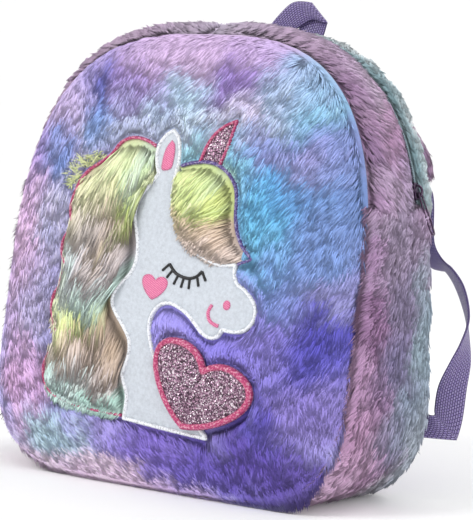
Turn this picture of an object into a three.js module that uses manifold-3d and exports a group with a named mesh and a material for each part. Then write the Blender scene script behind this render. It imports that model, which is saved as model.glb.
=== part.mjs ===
// A child's plush backpack: a domed fur bag with a zip over the top, a unicorn head sewn on the
// front, a webbing handle and two padded straps. Millimetres, +Z up, the front faces -Y, and the
// origin lies on the floor under the middle of the base.
import * as THREE from 'three';
import { mergeVertices } from 'three/addons/utils/BufferGeometryUtils.js';
import Module from 'manifold-3d';

const wasm = await Module();
wasm.setup();

// Bag, along its seam lines
const bag_half_width = 140;
const bag_height = 300;
const widest_level = 115; // above the lowest seam
const dome_power = 2.9; // superellipse power of the top
const base_power = 4.5; // and of the squarer bottom corners
const base_depth = 100;
const top_depth = 62;
const front_bulge = 18;
const back_bulge = 6;
const seam_height = 6; // lowest seam above the floor

// Walls and fur
const backing = 2; // knitted ground and lining
const pile = 10; // fur of the front and the sides
const back_pile = 8;
const seam_pile = 1.5; // fur caught in a seam
const pinch_width = 12; // from a seam to the full pile
const lock_length = 34;
const lock_width = 23;
const back_lock_length = 42;
const back_lock_width = 35;
const lock_relief = 2.2;
const lock_unevenness = 0.3; // share by which one lock's relief differs from the next
const lock_drop = 5; // how far a lock's tip hangs over the next one
const seam_gap = 0.3;
const edge_thickness = backing + seam_pile;

// Zip, which runs over the top from side to side
const zip_level = 195; // its two ends, above the lowest seam
const rear_band_width = 8;
const tape_width = 9;
const tape_rise = 1;
const tape_thickness = 1;
const coil_width = 5;
const coil_height = 2;
const slider_above_end = 8;
const slider_length = 12;
const slider_width = 8.4;
const slider_thickness = 1.8;
const crown_radius = 4.2; // the slider's upright loop, at the middle of its wire
const crown_wire = 1.6;
const crown_width = 2;
const tab_length = 31;
const tab_top_width = 5.6;
const tab_bottom_width = 7;
const tab_wire = 1.2;
const tab_thickness = 1.4;
const tab_toe = 2.6; // solid metal at the tab's lower end
const tab_toe_wall = 1.9; // and on both sides of it
const tab_lean = 24; // degrees off the vertical, propped on the fur

// Webbing and straps
const webbing_width = 20;
const webbing_thickness = 1.6;
const pad_width = 46;
const pad_thickness = 13;
const pad_root_thickness = 4;
const pad_root_share = 0.3125; // of its length, over which it thickens
const pad_end_share = 0.55; // of its thickness, where the webbing is sewn in
const webbing_start = 12; // straight out of the pad
const strap_stand_off = 40;
const handle_rise = 22; // above the top seam
const handle_middle = 24; // sewn to the right of the bag's middle line
const handle_reach = 14; // from that line to the middle of each sewn end

// Figure on the front
const figure_left = -94;
const figure_bottom = 36; // above the lowest seam
const figure_width = 175;
const figure_height = 209;
const ground_rise = 3.7; // sheared fur under the figure, with its backing
const felt_thickness = 2;
const stitch_rise = 1.2; // satin edge above the felt
const stack_gap = 0.6; // between the head's edge and the heart sewn over it
const embroidery_height = 0.9;
const glitter_thickness = 2.2;
const head_edge = 3;
const mane_edge = 2.6;
const forelock_edge = 2.8;
const horn_edge = 2.4;
const heart_edge = 4.6;
const hair_ground = 3.2; // clipped fur that the mane's locks grow from
const lock_root = 1.2; // how deep a lock starts in the clipped fur
const lock_curl = 14; // degrees that a lock turns from root to tip
const mane_lock_length = 46;
const mane_lock_width = 20;
const mane_lock_rise = 7;
const forelock_lock_length = 34;
const forelock_lock_width = 15;
const forelock_lock_rise = 5;
const heart_width = 77;
const heart_height = 49;
const heart_tilt = 20; // degrees, tip to the left
const cheek_width = 21;
const cheek_height = 16;
const cheek_tilt = 5;
const lash_thickness = 2;
const lash_length = 7;
const mouth_thickness = 2.4;
const nostril_width = 5.4;
const nostril_height = 6.4;

// Fineness of the facets
const curve_step = 10.5;
const small_curve_step = 4.5;
const slab_step = 30;
const seam_samples = 800; // for distances along the seam line
const outline_cut = 0.0015; // share of a panel's height cut off to a short straight edge

// Heights above the front panel's inner face, from the ground up
const felt_low = ground_rise + seam_gap;
const felt_high = felt_low + felt_thickness;
const head_edge_high = felt_high + stitch_rise;
const face_low = felt_high + seam_gap;
const face_high = face_low + embroidery_height;
const heart_low = head_edge_high + stack_gap;
const heart_high = heart_low + glitter_thickness;
const above_all = backing + pile + mane_lock_rise + front_bulge;

// Shares from 0 to 1 across a panel: close together by the two seams, even between them
const panel_edge_shares = [0, 0.014, 0.042];
const band_edge_shares = [0, 0.03, 0.1];
const inner_shares = [1, 0.84, 0.67, 0.5, 0.33, 0.16, 0];
const band_inner_shares = [1, 0.5, 0];

// Outlines on the front: across and up, in hundredths of the figure's width and height.
// Each stroke is one smooth curve, and strokes meet at the corners.
const head_strokes = [
  // Ear tip, over the brow, to the bridge of the nose
  {
    across: [50, 53, 54.6, 55, 54.3, 54.3, 56.5, 60.7, 66.8, 74.4, 81, 86.8],
    up: [96, 93.5, 89.5, 86, 81.5, 75.5, 69.5, 63.3, 58.7, 55.7, 54.5, 55],
  },
  // Round the muzzle to the corner of the mouth
  {
    across: [86.8, 87, 88.6, 92.5, 96.5, 97.7, 96.8, 93.8, 89, 84.5],
    up: [55, 51.8, 49.2, 47.2, 43.8, 41, 37.6, 35, 34.2, 34.6],
  },
  // Under the chin and down the throat to the front corner of the neck
  {
    across: [84.5, 82.6, 79.8, 76, 72.7, 69.4, 64.7, 60, 56, 53, 51.4, 51.7, 53.2, 56, 64, 81.5],
    up: [34.6, 32.2, 31.6, 32.8, 35.2, 37.6, 39.8, 41, 40.5, 38.3, 35, 31.4, 27.6, 23, 16, 0],
  },
  // Foot of the neck
  { across: [81.5, 62, 43], up: [0, 1.2, 2.6] },
  // Up the nape to the root of the ear
  {
    across: [43, 43.8, 43.9, 42, 41, 42.4, 43.4, 42.6, 39.5, 35.5, 32.6, 32.4, 35, 39.8, 41.6, 41.2,
      39.6, 38, 38.2, 40.3, 43.5, 46.4],
    up: [2.6, 7, 10.5, 14.5, 17, 20.5, 24.5, 28.2, 31.8, 35.4, 38.7, 41.6, 45.2, 49.6, 54, 59, 63.4,
      67.4, 71, 75.2, 78.6, 81.8],
  },
  // Outer side of the ear
  { across: [46.4, 44.8, 44, 44.8, 47.2, 50], up: [81.8, 85, 88.6, 92, 94.6, 96] },
];
const mane_strokes = [
  {
    across: [45.4, 40, 34, 28.7, 25, 22.2, 17, 11.4, 7.6, 5.8, 4.3, 5.4, 8],
    up: [89.4, 91.8, 93, 92.6, 90.8, 87.6, 84.4, 81.6, 78, 74.4, 69.5, 65.6, 62.6],
  },
  { across: [8, 4.2, 2.5, 3.3, 6.4], up: [62.6, 60, 56.6, 52.6, 49.4] },
  {
    across: [6.4, 4.3, 3.6, 1.3, 0.8, 2.8, 8.6],
    up: [49.4, 45.4, 42.4, 39.6, 35.6, 31, 23.8],
  },
  {
    across: [8.6, 3.4, 0.8, 0.4, 2.4, 7.2, 12.6, 20, 30.5, 43.4],
    up: [23.8, 21, 17.5, 13.8, 9.8, 6.8, 5.5, 4.4, 3.8, 3.4],
  },
];
const mane_inside = { across: [48, 48, 49], up: [6, 60, 86] };
const forelock_strokes = [
  {
    across: [55.2, 59.7, 66, 71.2, 76, 79.8, 82.5, 83.6, 84.2, 86, 89, 93.8],
    up: [84.4, 85.6, 86.4, 86.1, 84.5, 82, 78.7, 74.8, 70, 64.8, 60.6, 57],
  },
  { across: [93.8, 90.3, 86.9], up: [57, 56, 54.9] },
];
const forelock_inside = { across: [84, 70, 60, 53, 52, 53], up: [52, 54, 59, 68, 78, 83.5] };
const horn_strokes = [
  { across: [64.7, 66.6, 69.4, 73.2, 78], up: [86.4, 91.6, 95.5, 98.2, 100] },
  { across: [78, 77.3, 76.4, 75.4, 73.8], up: [100, 96.7, 92.8, 89.6, 86] },
];
const ear_inner_stroke = {
  across: [50.3, 48.3, 47.5, 47.8, 49.6, 52, 52.5, 52.5, 51.8, 50.3],
  up: [92.8, 90.2, 86.2, 83.2, 83, 83.8, 86, 89, 91.6, 92.8],
};
const lash_arc = { across: [57.8, 61, 64.6, 68, 71, 73], up: [53.4, 50.8, 49.7, 49.5, 50.4, 52] };
const lash_headings = [222, 232, 245, 258, 270, 288, 302]; // degrees, along the closed lid
const mouth_stroke = { across: [79.2, 77.9, 78.8, 81.2, 83], up: [42, 39.6, 37.2, 35.9, 35.6] };
const nostril_place = { across: 85.6, up: 42.3 };
const cheek_tip = { across: 51.4, up: 41.6 };
const heart_tip = { across: 71.8, up: 3.2 };
// Half a heart from the cleft to the tip, in shares of its half width and its height
const heart_half = {
  across: [0, 0.12, 0.3, 0.53, 0.79, 0.93, 1, 0.98, 0.9, 0.72, 0.48, 0.21, 0],
  up: [0.81, 0.91, 0.99, 1.015, 0.975, 0.905, 0.8, 0.66, 0.53, 0.36, 0.2, 0.07, 0],
};
// Roots of the locks on the figure, and the way each one hangs in degrees
const mane_locks = {
  across: [39, 29, 37, 25, 34, 20, 34, 23, 28, 15, 32, 19, 37, 26, 15, 36, 24],
  up: [88, 90, 78, 80, 67, 69, 55, 57, 45, 47, 36, 38, 27, 29, 31, 16, 18],
  heading: [215, 208, 238, 230, 240, 248, 224, 208, 226, 212, 240, 246, 240, 234, 226, 212, 206],
};
const forelock_locks = {
  across: [60, 68, 76, 58, 66, 75, 66, 75, 82],
  up: [83, 84, 81, 76, 76, 74, 68, 67, 65],
  heading: [272, 285, 292, 285, 292, 300, 316, 322, 318],
};
// Along a lock of the figure: half width, height and place, in shares of its own sizes
const lock_sections = { along: [0, 0.35, 0.72, 1], wide: [0.5, 1, 0.72, 0.1], high: [0.15, 1, 0.9, 0.5] };

// Strap on the right-hand side. Places are shares of the half width, of the height and of the
// stand-off behind the back panel. The left strap is its mirror image.
const pad_path = {
  across: [0.27, 0.36, 0.5, 0.66, 0.8],
  up: [0.985, 0.93, 0.86, 0.775, 0.687],
  behind: [0.04, 0.1, 0.18, 0.26, 0.3],
};
const pad_sections = { along: [0, 0.12, 0.3, 0.5, 0.7, 0.88, 0.97, 1], wide: [0.62, 0.86, 1, 1, 1, 0.98, 0.86, 0.7] };
// Loose webbing from the pad's end to the side seam: turn and lean are the direction of its
// width in degrees, and spread stretches the width along the diagonal fold.
const webbing_path = {
  across: [0.907, 0.944, 0.995, 1.04, 1.104, 1.165, 1.17, 1.158, 1.134, 1.128, 1.13, 1.137, 1.04],
  up: [0.543, 0.517, 0.507, 0.502, 0.468, 0.4, 0.345, 0.298, 0.239, 0.175, 0.151, 0.151, 0.153],
  behind: [0.42, 0.5, 0.58, 0.62, 0.6, 0.54, 0.48, 0.43, 0.36, 0.3, 0.22, 0.1, 0],
  turn: [148, 136, 124, 128, 134, 124, 100, 70, 38, 34, 34, 34, 180],
  lean: [-32, -30, -20, -12, -5, 0, 0, 0, -4, -22, -45, -45, -83],
  spread: [1, 1, 1, 1, 1, 1, 1, 1, 1, 1.05, 1.15, 1.15, 0.9],
};
// Handle: a flat loop that leans to the right and folds over at its top corner. Places are shares
// of its reach and rise, and forward is a share of the room between its two runs.
const handle_path = {
  across: [-1, -0.6, -0.05, 0.75, 1.5, 1.62, 1.62, 1.5, 1.22, 1],
  up: [0, 0.3, 0.62, 0.98, 1, 1, 1, 0.95, 0.45, 0],
  forward: [0.1, 0.1, 0.1, 0.1, 0.15, 0.45, 0.6, 1, 1, 0.3],
  lean: [-1, -10, -24, -36, -45, -45, -45, -40, -18, -6.5],
  spread: [0.9, 0.95, 1, 1.05, 1.05, 1.05, 1.05, 1.05, 1.05, 1.1],
};
const handle_run_gap = 3.2;

const back_seam_y = base_depth / 2;
const upper_reach = bag_height - widest_level;
const degrees = Math.PI / 180;

const signedPower = (value, power) => Math.sign(value) * Math.abs(value) ** power;
const mix = (low, high, share) => low + (high - low) * share;

// A value between the rows of a column that is listed against rising places
function along(places, values, place) {
  const next = Math.max(1, places.findIndex((one) => one >= place));
  const share = (place - places[next - 1]) / (places[next] - places[next - 1]);
  return mix(values[next - 1], values[next], share);
}

// The seam line, an egg of two superellipse halves that meet at the widest level. The turn runs
// anticlockwise, seen from the front, from 0 at the right-hand widest point to 1.
function seamAt(turn) {
  const c = Math.cos(2 * Math.PI * turn);
  const s = Math.sin(2 * Math.PI * turn);
  const power = s >= 0 ? dome_power : base_power;
  const reach = s >= 0 ? upper_reach : widest_level;
  const size = (Math.abs(c) ** power + Math.abs(s) ** power) ** (1 / power);
  const outward = new THREE.Vector2(
    signedPower(c / size, power - 1) / bag_half_width,
    signedPower(s / size, power - 1) / reach,
  );
  return {
    x: (bag_half_width * c) / size,
    level: widest_level + (reach * s) / size,
    outward: outward.normalize(),
  };
}

// The right-hand turn at which the seam line reaches a level of the dome
function turnAtLevel(level) {
  const up = (level - widest_level) / upper_reach;
  const across = (1 - up ** dome_power) ** (1 / dome_power);
  return Math.atan2(up, across) / (2 * Math.PI);
}

// Turns at equal distances along the seam line
function evenTurns(from, to, spacing) {
  const fine = Array.from({ length: seam_samples + 1 }, (_, k) => mix(from, to, k / seam_samples));
  const lengths = [0];
  for (let k = 1; k < fine.length; k += 1) {
    const a = seamAt(fine[k - 1]);
    const b = seamAt(fine[k]);
    lengths.push(lengths[k - 1] + Math.hypot(b.x - a.x, b.level - a.level));
  }
  const total = lengths[lengths.length - 1];
  const steps = 2 * Math.ceil(total / spacing / 2);
  const turns = Array.from({ length: steps + 1 }, (_, k) => along(lengths, fine, (total * k) / steps));
  return { turns, step: total / steps, total };
}

// The panels reach over the gusset's edge, so their outline is the seam line grown by that edge
function panelHalfWidth(level) {
  const upper = level >= widest_level;
  const reach = (upper ? upper_reach : widest_level) + edge_thickness;
  const power = upper ? dome_power : base_power;
  const up = Math.min(1, Math.abs(level - widest_level) / reach);
  return (bag_half_width + edge_thickness) * (1 - up ** power) ** (1 / power);
}

// Level of the panels' top edge above a place across the bag
function panelTop(x) {
  const across = Math.abs(x) / (bag_half_width + edge_thickness);
  return widest_level + (upper_reach + edge_thickness) * (1 - across ** dome_power) ** (1 / dome_power);
}

// 0 in the middle of a panel, 1 on its edge
function fullness(x, level) {
  const upper = level >= widest_level;
  const reach = (upper ? upper_reach : widest_level) + edge_thickness;
  const power = upper ? dome_power : base_power;
  const across = Math.abs(x) / (bag_half_width + edge_thickness);
  const up = Math.abs(level - widest_level) / reach;
  return Math.min(1, (across ** power + up ** power) ** (1 / power));
}

const frontSeamY = (level) => back_seam_y - mix(base_depth, top_depth, level / bag_height);
const crownOf = (x, level) => 1 - fullness(x, level) ** 3;
const onFloor = (z) => Math.max(0, z);

function frontPoint(x, level, rise) {
  const y = frontSeamY(level) - seam_gap / 2 - front_bulge * crownOf(x, level) - rise;
  return new THREE.Vector3(x, y, onFloor(seam_height + level));
}

function backPoint(x, level, rise) {
  const y = back_seam_y + seam_gap / 2 + back_bulge * crownOf(x, level) + rise;
  return new THREE.Vector3(x, y, onFloor(seam_height + level));
}

function gussetPoint(turn, y, rise) {
  const { x, level, outward } = seamAt(turn);
  return new THREE.Vector3(x + outward.x * rise, y, onFloor(seam_height + level + outward.y * rise));
}

// Fur stands up in a quarter circle from the pile caught in the seam to the full pile
function furRise(distance, full_pile) {
  const short = 1 - Math.min(1, Math.max(0, distance) / pinch_width);
  return backing + mix(seam_pile, full_pile, Math.sqrt(1 - short * short));
}

// Fur lies in locks, staggered from row to row: each one's tip stands up and hangs down over the
// hollow between two locks of the next row.
function lockForm(row, column, distance) {
  const loose = Math.min(1, Math.max(0, distance) / pinch_width);
  if (row % 2 === 1) return { lift: 0, drop: 0 };
  const uneven = 1 + lock_unevenness * Math.sin(2.3 * row + 4.1 * column);
  const tip = (column + row / 2) % 2 === 0;
  return { lift: (tip ? uneven : -uneven) * loose * lock_relief, drop: tip ? uneven * loose * lock_drop : 0 };
}

function edgedShares(edge_shares, steps) {
  const first = edge_shares[edge_shares.length - 1];
  const even = Array.from({ length: steps + 1 }, (_, k) => mix(first, 1 - first, k / steps));
  const edge = edge_shares.slice(0, -1);
  return [...edge, ...even, ...edge.map((share) => 1 - share).reverse()];
}

// Twice the steps of the locks that fit in a width, so that each lock has a ridge and two hollows
const lockSteps = (width, lock) => 2 * Math.max(1, Math.round(width / lock));

// A closed body through loops of equally many points. Open lofts are capped, joined ones close
// on their first loop, and faces are turned outwards. The two halves of a loop are split along
// opposite diagonals, so that a twisted ribbon keeps its thickness.
function loft(loops, joined = false) {
  const around = loops[0].length;
  const points = loops.flat();
  const triangles = [];
  const last = joined ? loops.length : loops.length - 1;
  for (let i = 0; i < last; i += 1) {
    for (let j = 0; j < around; j += 1) {
      const a = i * around + j;
      const b = i * around + ((j + 1) % around);
      const c = ((i + 1) % loops.length) * around + ((j + 1) % around);
      const d = ((i + 1) % loops.length) * around + j;
      if (j < around / 2) triangles.push([a, b, c], [a, c, d]);
      else triangles.push([a, b, d], [b, c, d]);
    }
  }
  if (!joined) {
    for (const end of [0, loops.length - 1]) {
      const hub = points.length;
      const middle = new THREE.Vector3();
      loops[end].forEach((point) => middle.addScaledVector(point, 1 / around));
      points.push(middle);
      for (let j = 0; j < around; j += 1) {
        const a = end * around + j;
        const b = end * around + ((j + 1) % around);
        triangles.push(end === 0 ? [hub, b, a] : [hub, a, b]);
      }
    }
  }
  const volume = triangles.reduce((sum, [a, b, c]) => {
    const across = new THREE.Vector3().crossVectors(points[b], points[c]);
    return sum + points[a].dot(across);
  }, 0);
  if (volume < 0) triangles.forEach((triangle) => triangle.reverse());
  const geometry = new THREE.BufferGeometry();
  geometry.setAttribute('position', new THREE.Float32BufferAttribute(points.flatMap((p) => p.toArray()), 3));
  geometry.setIndex(triangles.flat());
  return geometry;
}

function solidOf(geometry) {
  const bare = geometry.clone();
  bare.deleteAttribute('normal');
  bare.deleteAttribute('uv');
  const merged = mergeVertices(bare, 1e-4);
  const vertProperties = new Float32Array(merged.attributes.position.array);
  const triVerts = new Uint32Array(merged.index.array);
  return new wasm.Manifold(new wasm.Mesh({ numProp: 3, vertProperties, triVerts }));
}

const joinAll = (solids) => solids.reduce((sum, one) => sum.add(one));
const cutAll = (body, cutters) => cutters.reduce((rest, one) => rest.subtract(one), body);

// A cut can leave crumbs on the far side of an edge, so the largest piece is the body
function bodyOf(solid) {
  const largest = solid.decompose().reduce((best, one) => (one.volume() > best.volume() ? one : best));
  const mesh = largest.getMesh();
  const geometry = new THREE.BufferGeometry();
  geometry.setAttribute('position', new THREE.BufferAttribute(new Float32Array(mesh.vertProperties), 3));
  geometry.setIndex(new THREE.BufferAttribute(new Uint32Array(mesh.triVerts), 1));
  return geometry;
}

// Front and back panels: a domed fur surface in rows of locks, and a smooth inner face
function furPanel(place, full_pile, length, width) {
  const bottom = -edge_thickness;
  const top = bag_height + edge_thickness;
  const rows = edgedShares(panel_edge_shares, lockSteps(bag_height, length));
  const columns = edgedShares(panel_edge_shares, lockSteps(2 * bag_half_width, width));
  const loops = rows.map((row_share, row) => {
    const level = mix(bottom, top, mix(outline_cut, 1 - outline_cut, row_share));
    const half = panelHalfWidth(level);
    const outer = columns.map((share, column) => {
      const x = mix(-half, half, share);
      const distance = (1 - fullness(x, level)) * bag_half_width;
      const form = lockForm(row, column, distance);
      return place(x, level - form.drop, furRise(distance, full_pile) + form.lift);
    });
    const inner = inner_shares.map((share) => place(mix(-half, half, share), level, 0));
    return [...outer, ...inner];
  });
  return loft(loops);
}

// Bands of the gusset, from one edge to another, between two turns of the seam line
function furBand(from, to, front_edge, back_edge, mean_width) {
  const { turns, step, total } = evenTurns(from, to, lock_length / 2);
  const steps = lockSteps(mean_width, lock_width);
  const columns = mean_width > lock_width ? edgedShares(band_edge_shares, steps) : [0, 0.2, 0.5, 0.8, 1];
  const turn_per_mm = (to - from) / total;
  const bandPoint = (turn, share, rise) => {
    const { level, outward } = seamAt(turn);
    const level_here = level + outward.y * rise;
    return gussetPoint(turn, mix(front_edge(level_here), back_edge(level_here), share), rise);
  };
  const loops = turns.map((turn, row) => {
    const { level, outward } = seamAt(turn);
    const width = back_edge(level) - front_edge(level);
    const from_end = Math.min(row, turns.length - 1 - row) * step;
    const outer = columns.map((share, column) => {
      const distance = Math.min(share * width, (1 - share) * width, from_end);
      const form = lockForm(row, column, distance);
      const drop = -form.drop * outward.x * Math.abs(turn_per_mm);
      return bandPoint(turn + drop, share, furRise(distance, pile) + form.lift);
    });
    const inner = band_inner_shares.map((share) => bandPoint(turn, share, 0));
    return [...outer, ...inner];
  });
  return loft(loops);
}

// A strip that follows the seam line, with its section given in y and rise
function seamStrip(from, to, section) {
  const { turns } = evenTurns(from, to, lock_length / 2);
  return loft(turns.map((turn) => section.map(([y, rise]) => gussetPoint(turn, y, rise))));
}

const zip_turn = turnAtLevel(zip_level + seam_gap / 2);
const base_turn = turnAtLevel(zip_level - seam_gap / 2);
const tape_back_y = back_seam_y - rear_band_width;
const tape_front_y = tape_back_y - tape_width;
const tape_middle_y = (tape_front_y + tape_back_y) / 2;
const gusset_front = (level) => frontSeamY(level) + seam_gap / 2;
const gusset_back = () => back_seam_y - seam_gap / 2;

function zipTape() {
  const front = tape_front_y + seam_gap / 2;
  const back = tape_back_y - seam_gap / 2;
  const high = tape_rise + tape_thickness;
  return seamStrip(zip_turn, 0.5 - zip_turn, [[front, tape_rise], [front, high], [back, high], [back, tape_rise]]);
}

const coil_low = tape_rise + tape_thickness + seam_gap;
const coil_high = coil_low + coil_height;

function zipCoil() {
  const half = coil_width / 2;
  const section = [
    [tape_middle_y - half, coil_low],
    [tape_middle_y - half / 2, coil_high],
    [tape_middle_y + half / 2, coil_high],
    [tape_middle_y + half, coil_low],
  ];
  return seamStrip(zip_turn, 0.5 - zip_turn, section);
}

// Slider, about the point of the seam line under it: +X out of the bag, +Z up along the zip
const plate_low = coil_high + seam_gap;
const plate_high = plate_low + slider_thickness;

function zipSlider() {
  const nose = slider_width * 0.3;
  const plate_outline = new THREE.Shape([
    new THREE.Vector2(-slider_width / 2, slider_length / 2 - nose / 2),
    new THREE.Vector2(-slider_width / 2, -slider_length / 2 + nose),
    new THREE.Vector2(-nose, -slider_length / 2),
    new THREE.Vector2(nose, -slider_length / 2),
    new THREE.Vector2(slider_width / 2, -slider_length / 2 + nose),
    new THREE.Vector2(slider_width / 2, slider_length / 2 - nose / 2),
    new THREE.Vector2(nose, slider_length / 2),
    new THREE.Vector2(-nose, slider_length / 2),
  ]);
  const plate = new THREE.ExtrudeGeometry(plate_outline, { depth: slider_thickness, bevelEnabled: false });
  plate.rotateX(Math.PI / 2).rotateZ(Math.PI / 2).translate(plate_low, 0, 0);
  const crown_outline = new THREE.Shape();
  crown_outline.absarc(0, 0, crown_radius + crown_wire / 2, 0, Math.PI, false);
  const hole = new THREE.Path();
  hole.absarc(0, crown_wire / 4, crown_radius - crown_wire / 2, 0, Math.PI, false);
  crown_outline.holes.push(hole);
  const crown_settings = { depth: crown_width, bevelEnabled: false, curveSegments: 8 };
  const crown = new THREE.ExtrudeGeometry(crown_outline, crown_settings);
  crown.translate(0, 0, -crown_width / 2).rotateZ(-Math.PI / 2).rotateX(Math.PI / 2);
  crown.translate(plate_high - crown_wire / 2, 0, 0);
  return bodyOf(solidOf(plate).add(solidOf(crown)));
}

// Pull tab: a long wire loop. Its top bar turns about the tab's own origin inside the crown.
const tab_pin_out = plate_high + tab_thickness / 2 + 2 * seam_gap;
const tab_pin_down = crown_radius / 4;

function pullTab() {
  const top = tab_wire / 2;
  const bottom = top - tab_length;
  const half_top = tab_top_width / 2;
  const half_bottom = tab_bottom_width / 2;
  const corner = half_top / 3;
  const toe_turns = Array.from({ length: 7 }, (_, k) => (-Math.PI * k) / 6);
  const toe = toe_turns.map((turn) => new THREE.Vector2(
    half_bottom * Math.cos(turn),
    bottom + half_bottom + half_bottom * Math.sin(turn),
  ));
  const outline = new THREE.Shape([
    new THREE.Vector2(half_top - corner, top),
    new THREE.Vector2(half_top, top - corner),
    ...toe,
    new THREE.Vector2(-half_top, top - corner),
    new THREE.Vector2(corner - half_top, top),
  ]);
  const slot_top = top - tab_wire;
  const slot_low = bottom + tab_toe;
  const slot_half_top = half_top - tab_wire;
  const slot_half_low = half_bottom - tab_toe_wall;
  outline.holes.push(new THREE.Path([
    new THREE.Vector2(-slot_half_top, slot_top),
    new THREE.Vector2(-slot_half_low, slot_low + slot_half_low),
    new THREE.Vector2(0, slot_low),
    new THREE.Vector2(slot_half_low, slot_low + slot_half_low),
    new THREE.Vector2(slot_half_top, slot_top),
  ]));
  const geometry = new THREE.ExtrudeGeometry(outline, { depth: tab_thickness, bevelEnabled: false });
  return geometry.translate(0, 0, -tab_thickness / 2).rotateX(Math.PI / 2).rotateZ(Math.PI / 2);
}

// Figure: strokes, outlines and prisms, and slabs that follow the bulge of the front
const onFigure = (across, up) => ({
  x: figure_left + (figure_width * across) / 100,
  level: figure_bottom + (figure_height * up) / 100,
});
const rowsOf = ({ across, up }) => across.map((one, k) => onFigure(one, up[k]));

function smooth(points, step) {
  const curve = new THREE.CatmullRomCurve3(points.map(({ x, level }) => new THREE.Vector3(x, 0, level)));
  const steps = Math.max(2, Math.ceil(curve.getLength() / step));
  return curve.getSpacedPoints(steps).map((point) => ({ x: point.x, level: point.z }));
}

// One closed outline from strokes that follow each other
const outlineOf = (strokes) => strokes.flatMap((stroke) => stroke.slice(0, -1));
const lastOf = (strokes) => strokes[strokes.length - 1].slice(-1)[0];
const isClosed = (strokes) =>
  Math.hypot(lastOf(strokes).x - strokes[0][0].x, lastOf(strokes).level - strokes[0][0].level) < seam_gap;

function prism(outline) {
  const shape = new THREE.Shape(outline.map(({ x, level }) => new THREE.Vector2(x, seam_height + level)));
  const depth = base_depth + 2 * above_all;
  const geometry = new THREE.ExtrudeGeometry(shape, { depth, bevelEnabled: false });
  return solidOf(geometry.rotateX(Math.PI / 2).translate(0, depth / 2, 0));
}

// A slab over the whole figure between two heights above the front panel's inner face
function slab(low, high) {
  const margin = slab_step / 2;
  const wide = figure_width + 2 * margin;
  const tall = figure_height + 2 * margin;
  const columns = Math.ceil(wide / slab_step);
  const rows = Math.ceil(tall / slab_step);
  const loops = Array.from({ length: rows + 1 }, (_, row) => {
    const level = figure_bottom - margin + (tall * row) / rows;
    const line = Array.from({ length: columns + 1 }, (_each, k) => figure_left - margin + (wide * k) / columns);
    const outer = line.map((x) => frontPoint(x, level, high));
    const inner = line.map((x) => frontPoint(x, level, low)).reverse();
    return [...outer, ...inner];
  });
  return solidOf(loft(loops));
}

// A bead along a line, mitred at its corners, with its section given as shares of the width and
// heights
function bead(line, width, section, closed = false, end_width = width) {
  const count = line.length;
  const headingOf = (from, to) => new THREE.Vector2(to.x - from.x, to.level - from.level).normalize();
  const loops = line.map((point, k) => {
    const first = !closed && k === 0;
    const last = !closed && k === count - 1;
    const arriving = first ? headingOf(point, line[1]) : headingOf(line[(k + count - 1) % count], point);
    const leaving = last ? arriving : headingOf(point, line[(k + 1) % count]);
    const way = arriving.clone().add(leaving).normalize();
    const wide = mix(width, end_width, k / (count - 1)) / Math.max(0.5, way.dot(leaving));
    return section.map(([share, rise]) =>
      frontPoint(point.x - way.y * share * wide, point.level + way.x * share * wide, rise));
  });
  return solidOf(loft(loops, closed));
}

const raised = (low, high) => [[-0.5, low], [-0.28, high], [0.28, high], [0.5, low]];
const squared = (low, high) => [[-0.5, low], [-0.5, high], [0.5, high], [0.5, low]];

// The line of a satin-stitched edge, the edge itself, and the room that its neighbours leave for it
const edgeLine = (strokes) => (isClosed(strokes) ? outlineOf(strokes) : [...outlineOf(strokes), lastOf(strokes)]);
const satinEdge = (strokes, width, low, high) =>
  bead(edgeLine(strokes), width, raised(low, high), isClosed(strokes));
const edgeRoom = (strokes, width) =>
  bead(edgeLine(strokes), width + 2 * seam_gap, squared(-above_all, above_all), isClosed(strokes));

const head = head_strokes.map((stroke) => smooth(rowsOf(stroke), curve_step));
const mane = mane_strokes.map((stroke) => smooth(rowsOf(stroke), curve_step));
const forelock = forelock_strokes.map((stroke) => smooth(rowsOf(stroke), curve_step));
const horn = horn_strokes.map((stroke) => smooth(rowsOf(stroke), curve_step));

// Two strokes of a heart, from the cleft down each side to the tip
function heartStrokes(tip, width, height, tilt, step) {
  const { x, level } = onFigure(tip.across, tip.up);
  const c = Math.cos(tilt * degrees);
  const s = Math.sin(tilt * degrees);
  const side = (sign) => heart_half.across.map((across, k) => {
    const right = (sign * across * width) / 2;
    const up = heart_half.up[k] * height;
    return { x: x + right * c + up * s, level: level - right * s + up * c };
  });
  return [smooth(side(1), step), smooth(side(-1), step).reverse()];
}

const heart = heartStrokes(heart_tip, heart_width, heart_height, heart_tilt, curve_step);
const cheek = heartStrokes(cheek_tip, cheek_width, cheek_height, cheek_tilt, small_curve_step);

const head_prism = prism(outlineOf(head));
const mane_prism = prism([...outlineOf(mane), ...rowsOf(mane_inside)]);
const forelock_prism = prism([...outlineOf(forelock), ...rowsOf(forelock_inside)]);
const horn_prism = prism(outlineOf([...horn, [horn[1][horn[1].length - 1], horn[0][0]]]));
const heart_prism = prism(outlineOf(heart));

const head_room = edgeRoom(head, head_edge);
const mane_room = edgeRoom(mane, mane_edge);
const forelock_room = edgeRoom(forelock, forelock_edge);
const horn_room = edgeRoom(horn, horn_edge);
const heart_room = edgeRoom(heart, heart_edge);

// Hollow in the front panel's fur that the figure lies in
function figureRecess() {
  const prisms = [head_prism, mane_prism, forelock_prism, horn_prism];
  const on_ground = joinAll([...prisms, head_room, mane_room, forelock_room, horn_room]);
  const over = heart_prism.add(heart_room).intersect(slab(head_edge_high, above_all));
  return on_ground.intersect(slab(ground_rise, above_all)).add(over);
}

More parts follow.
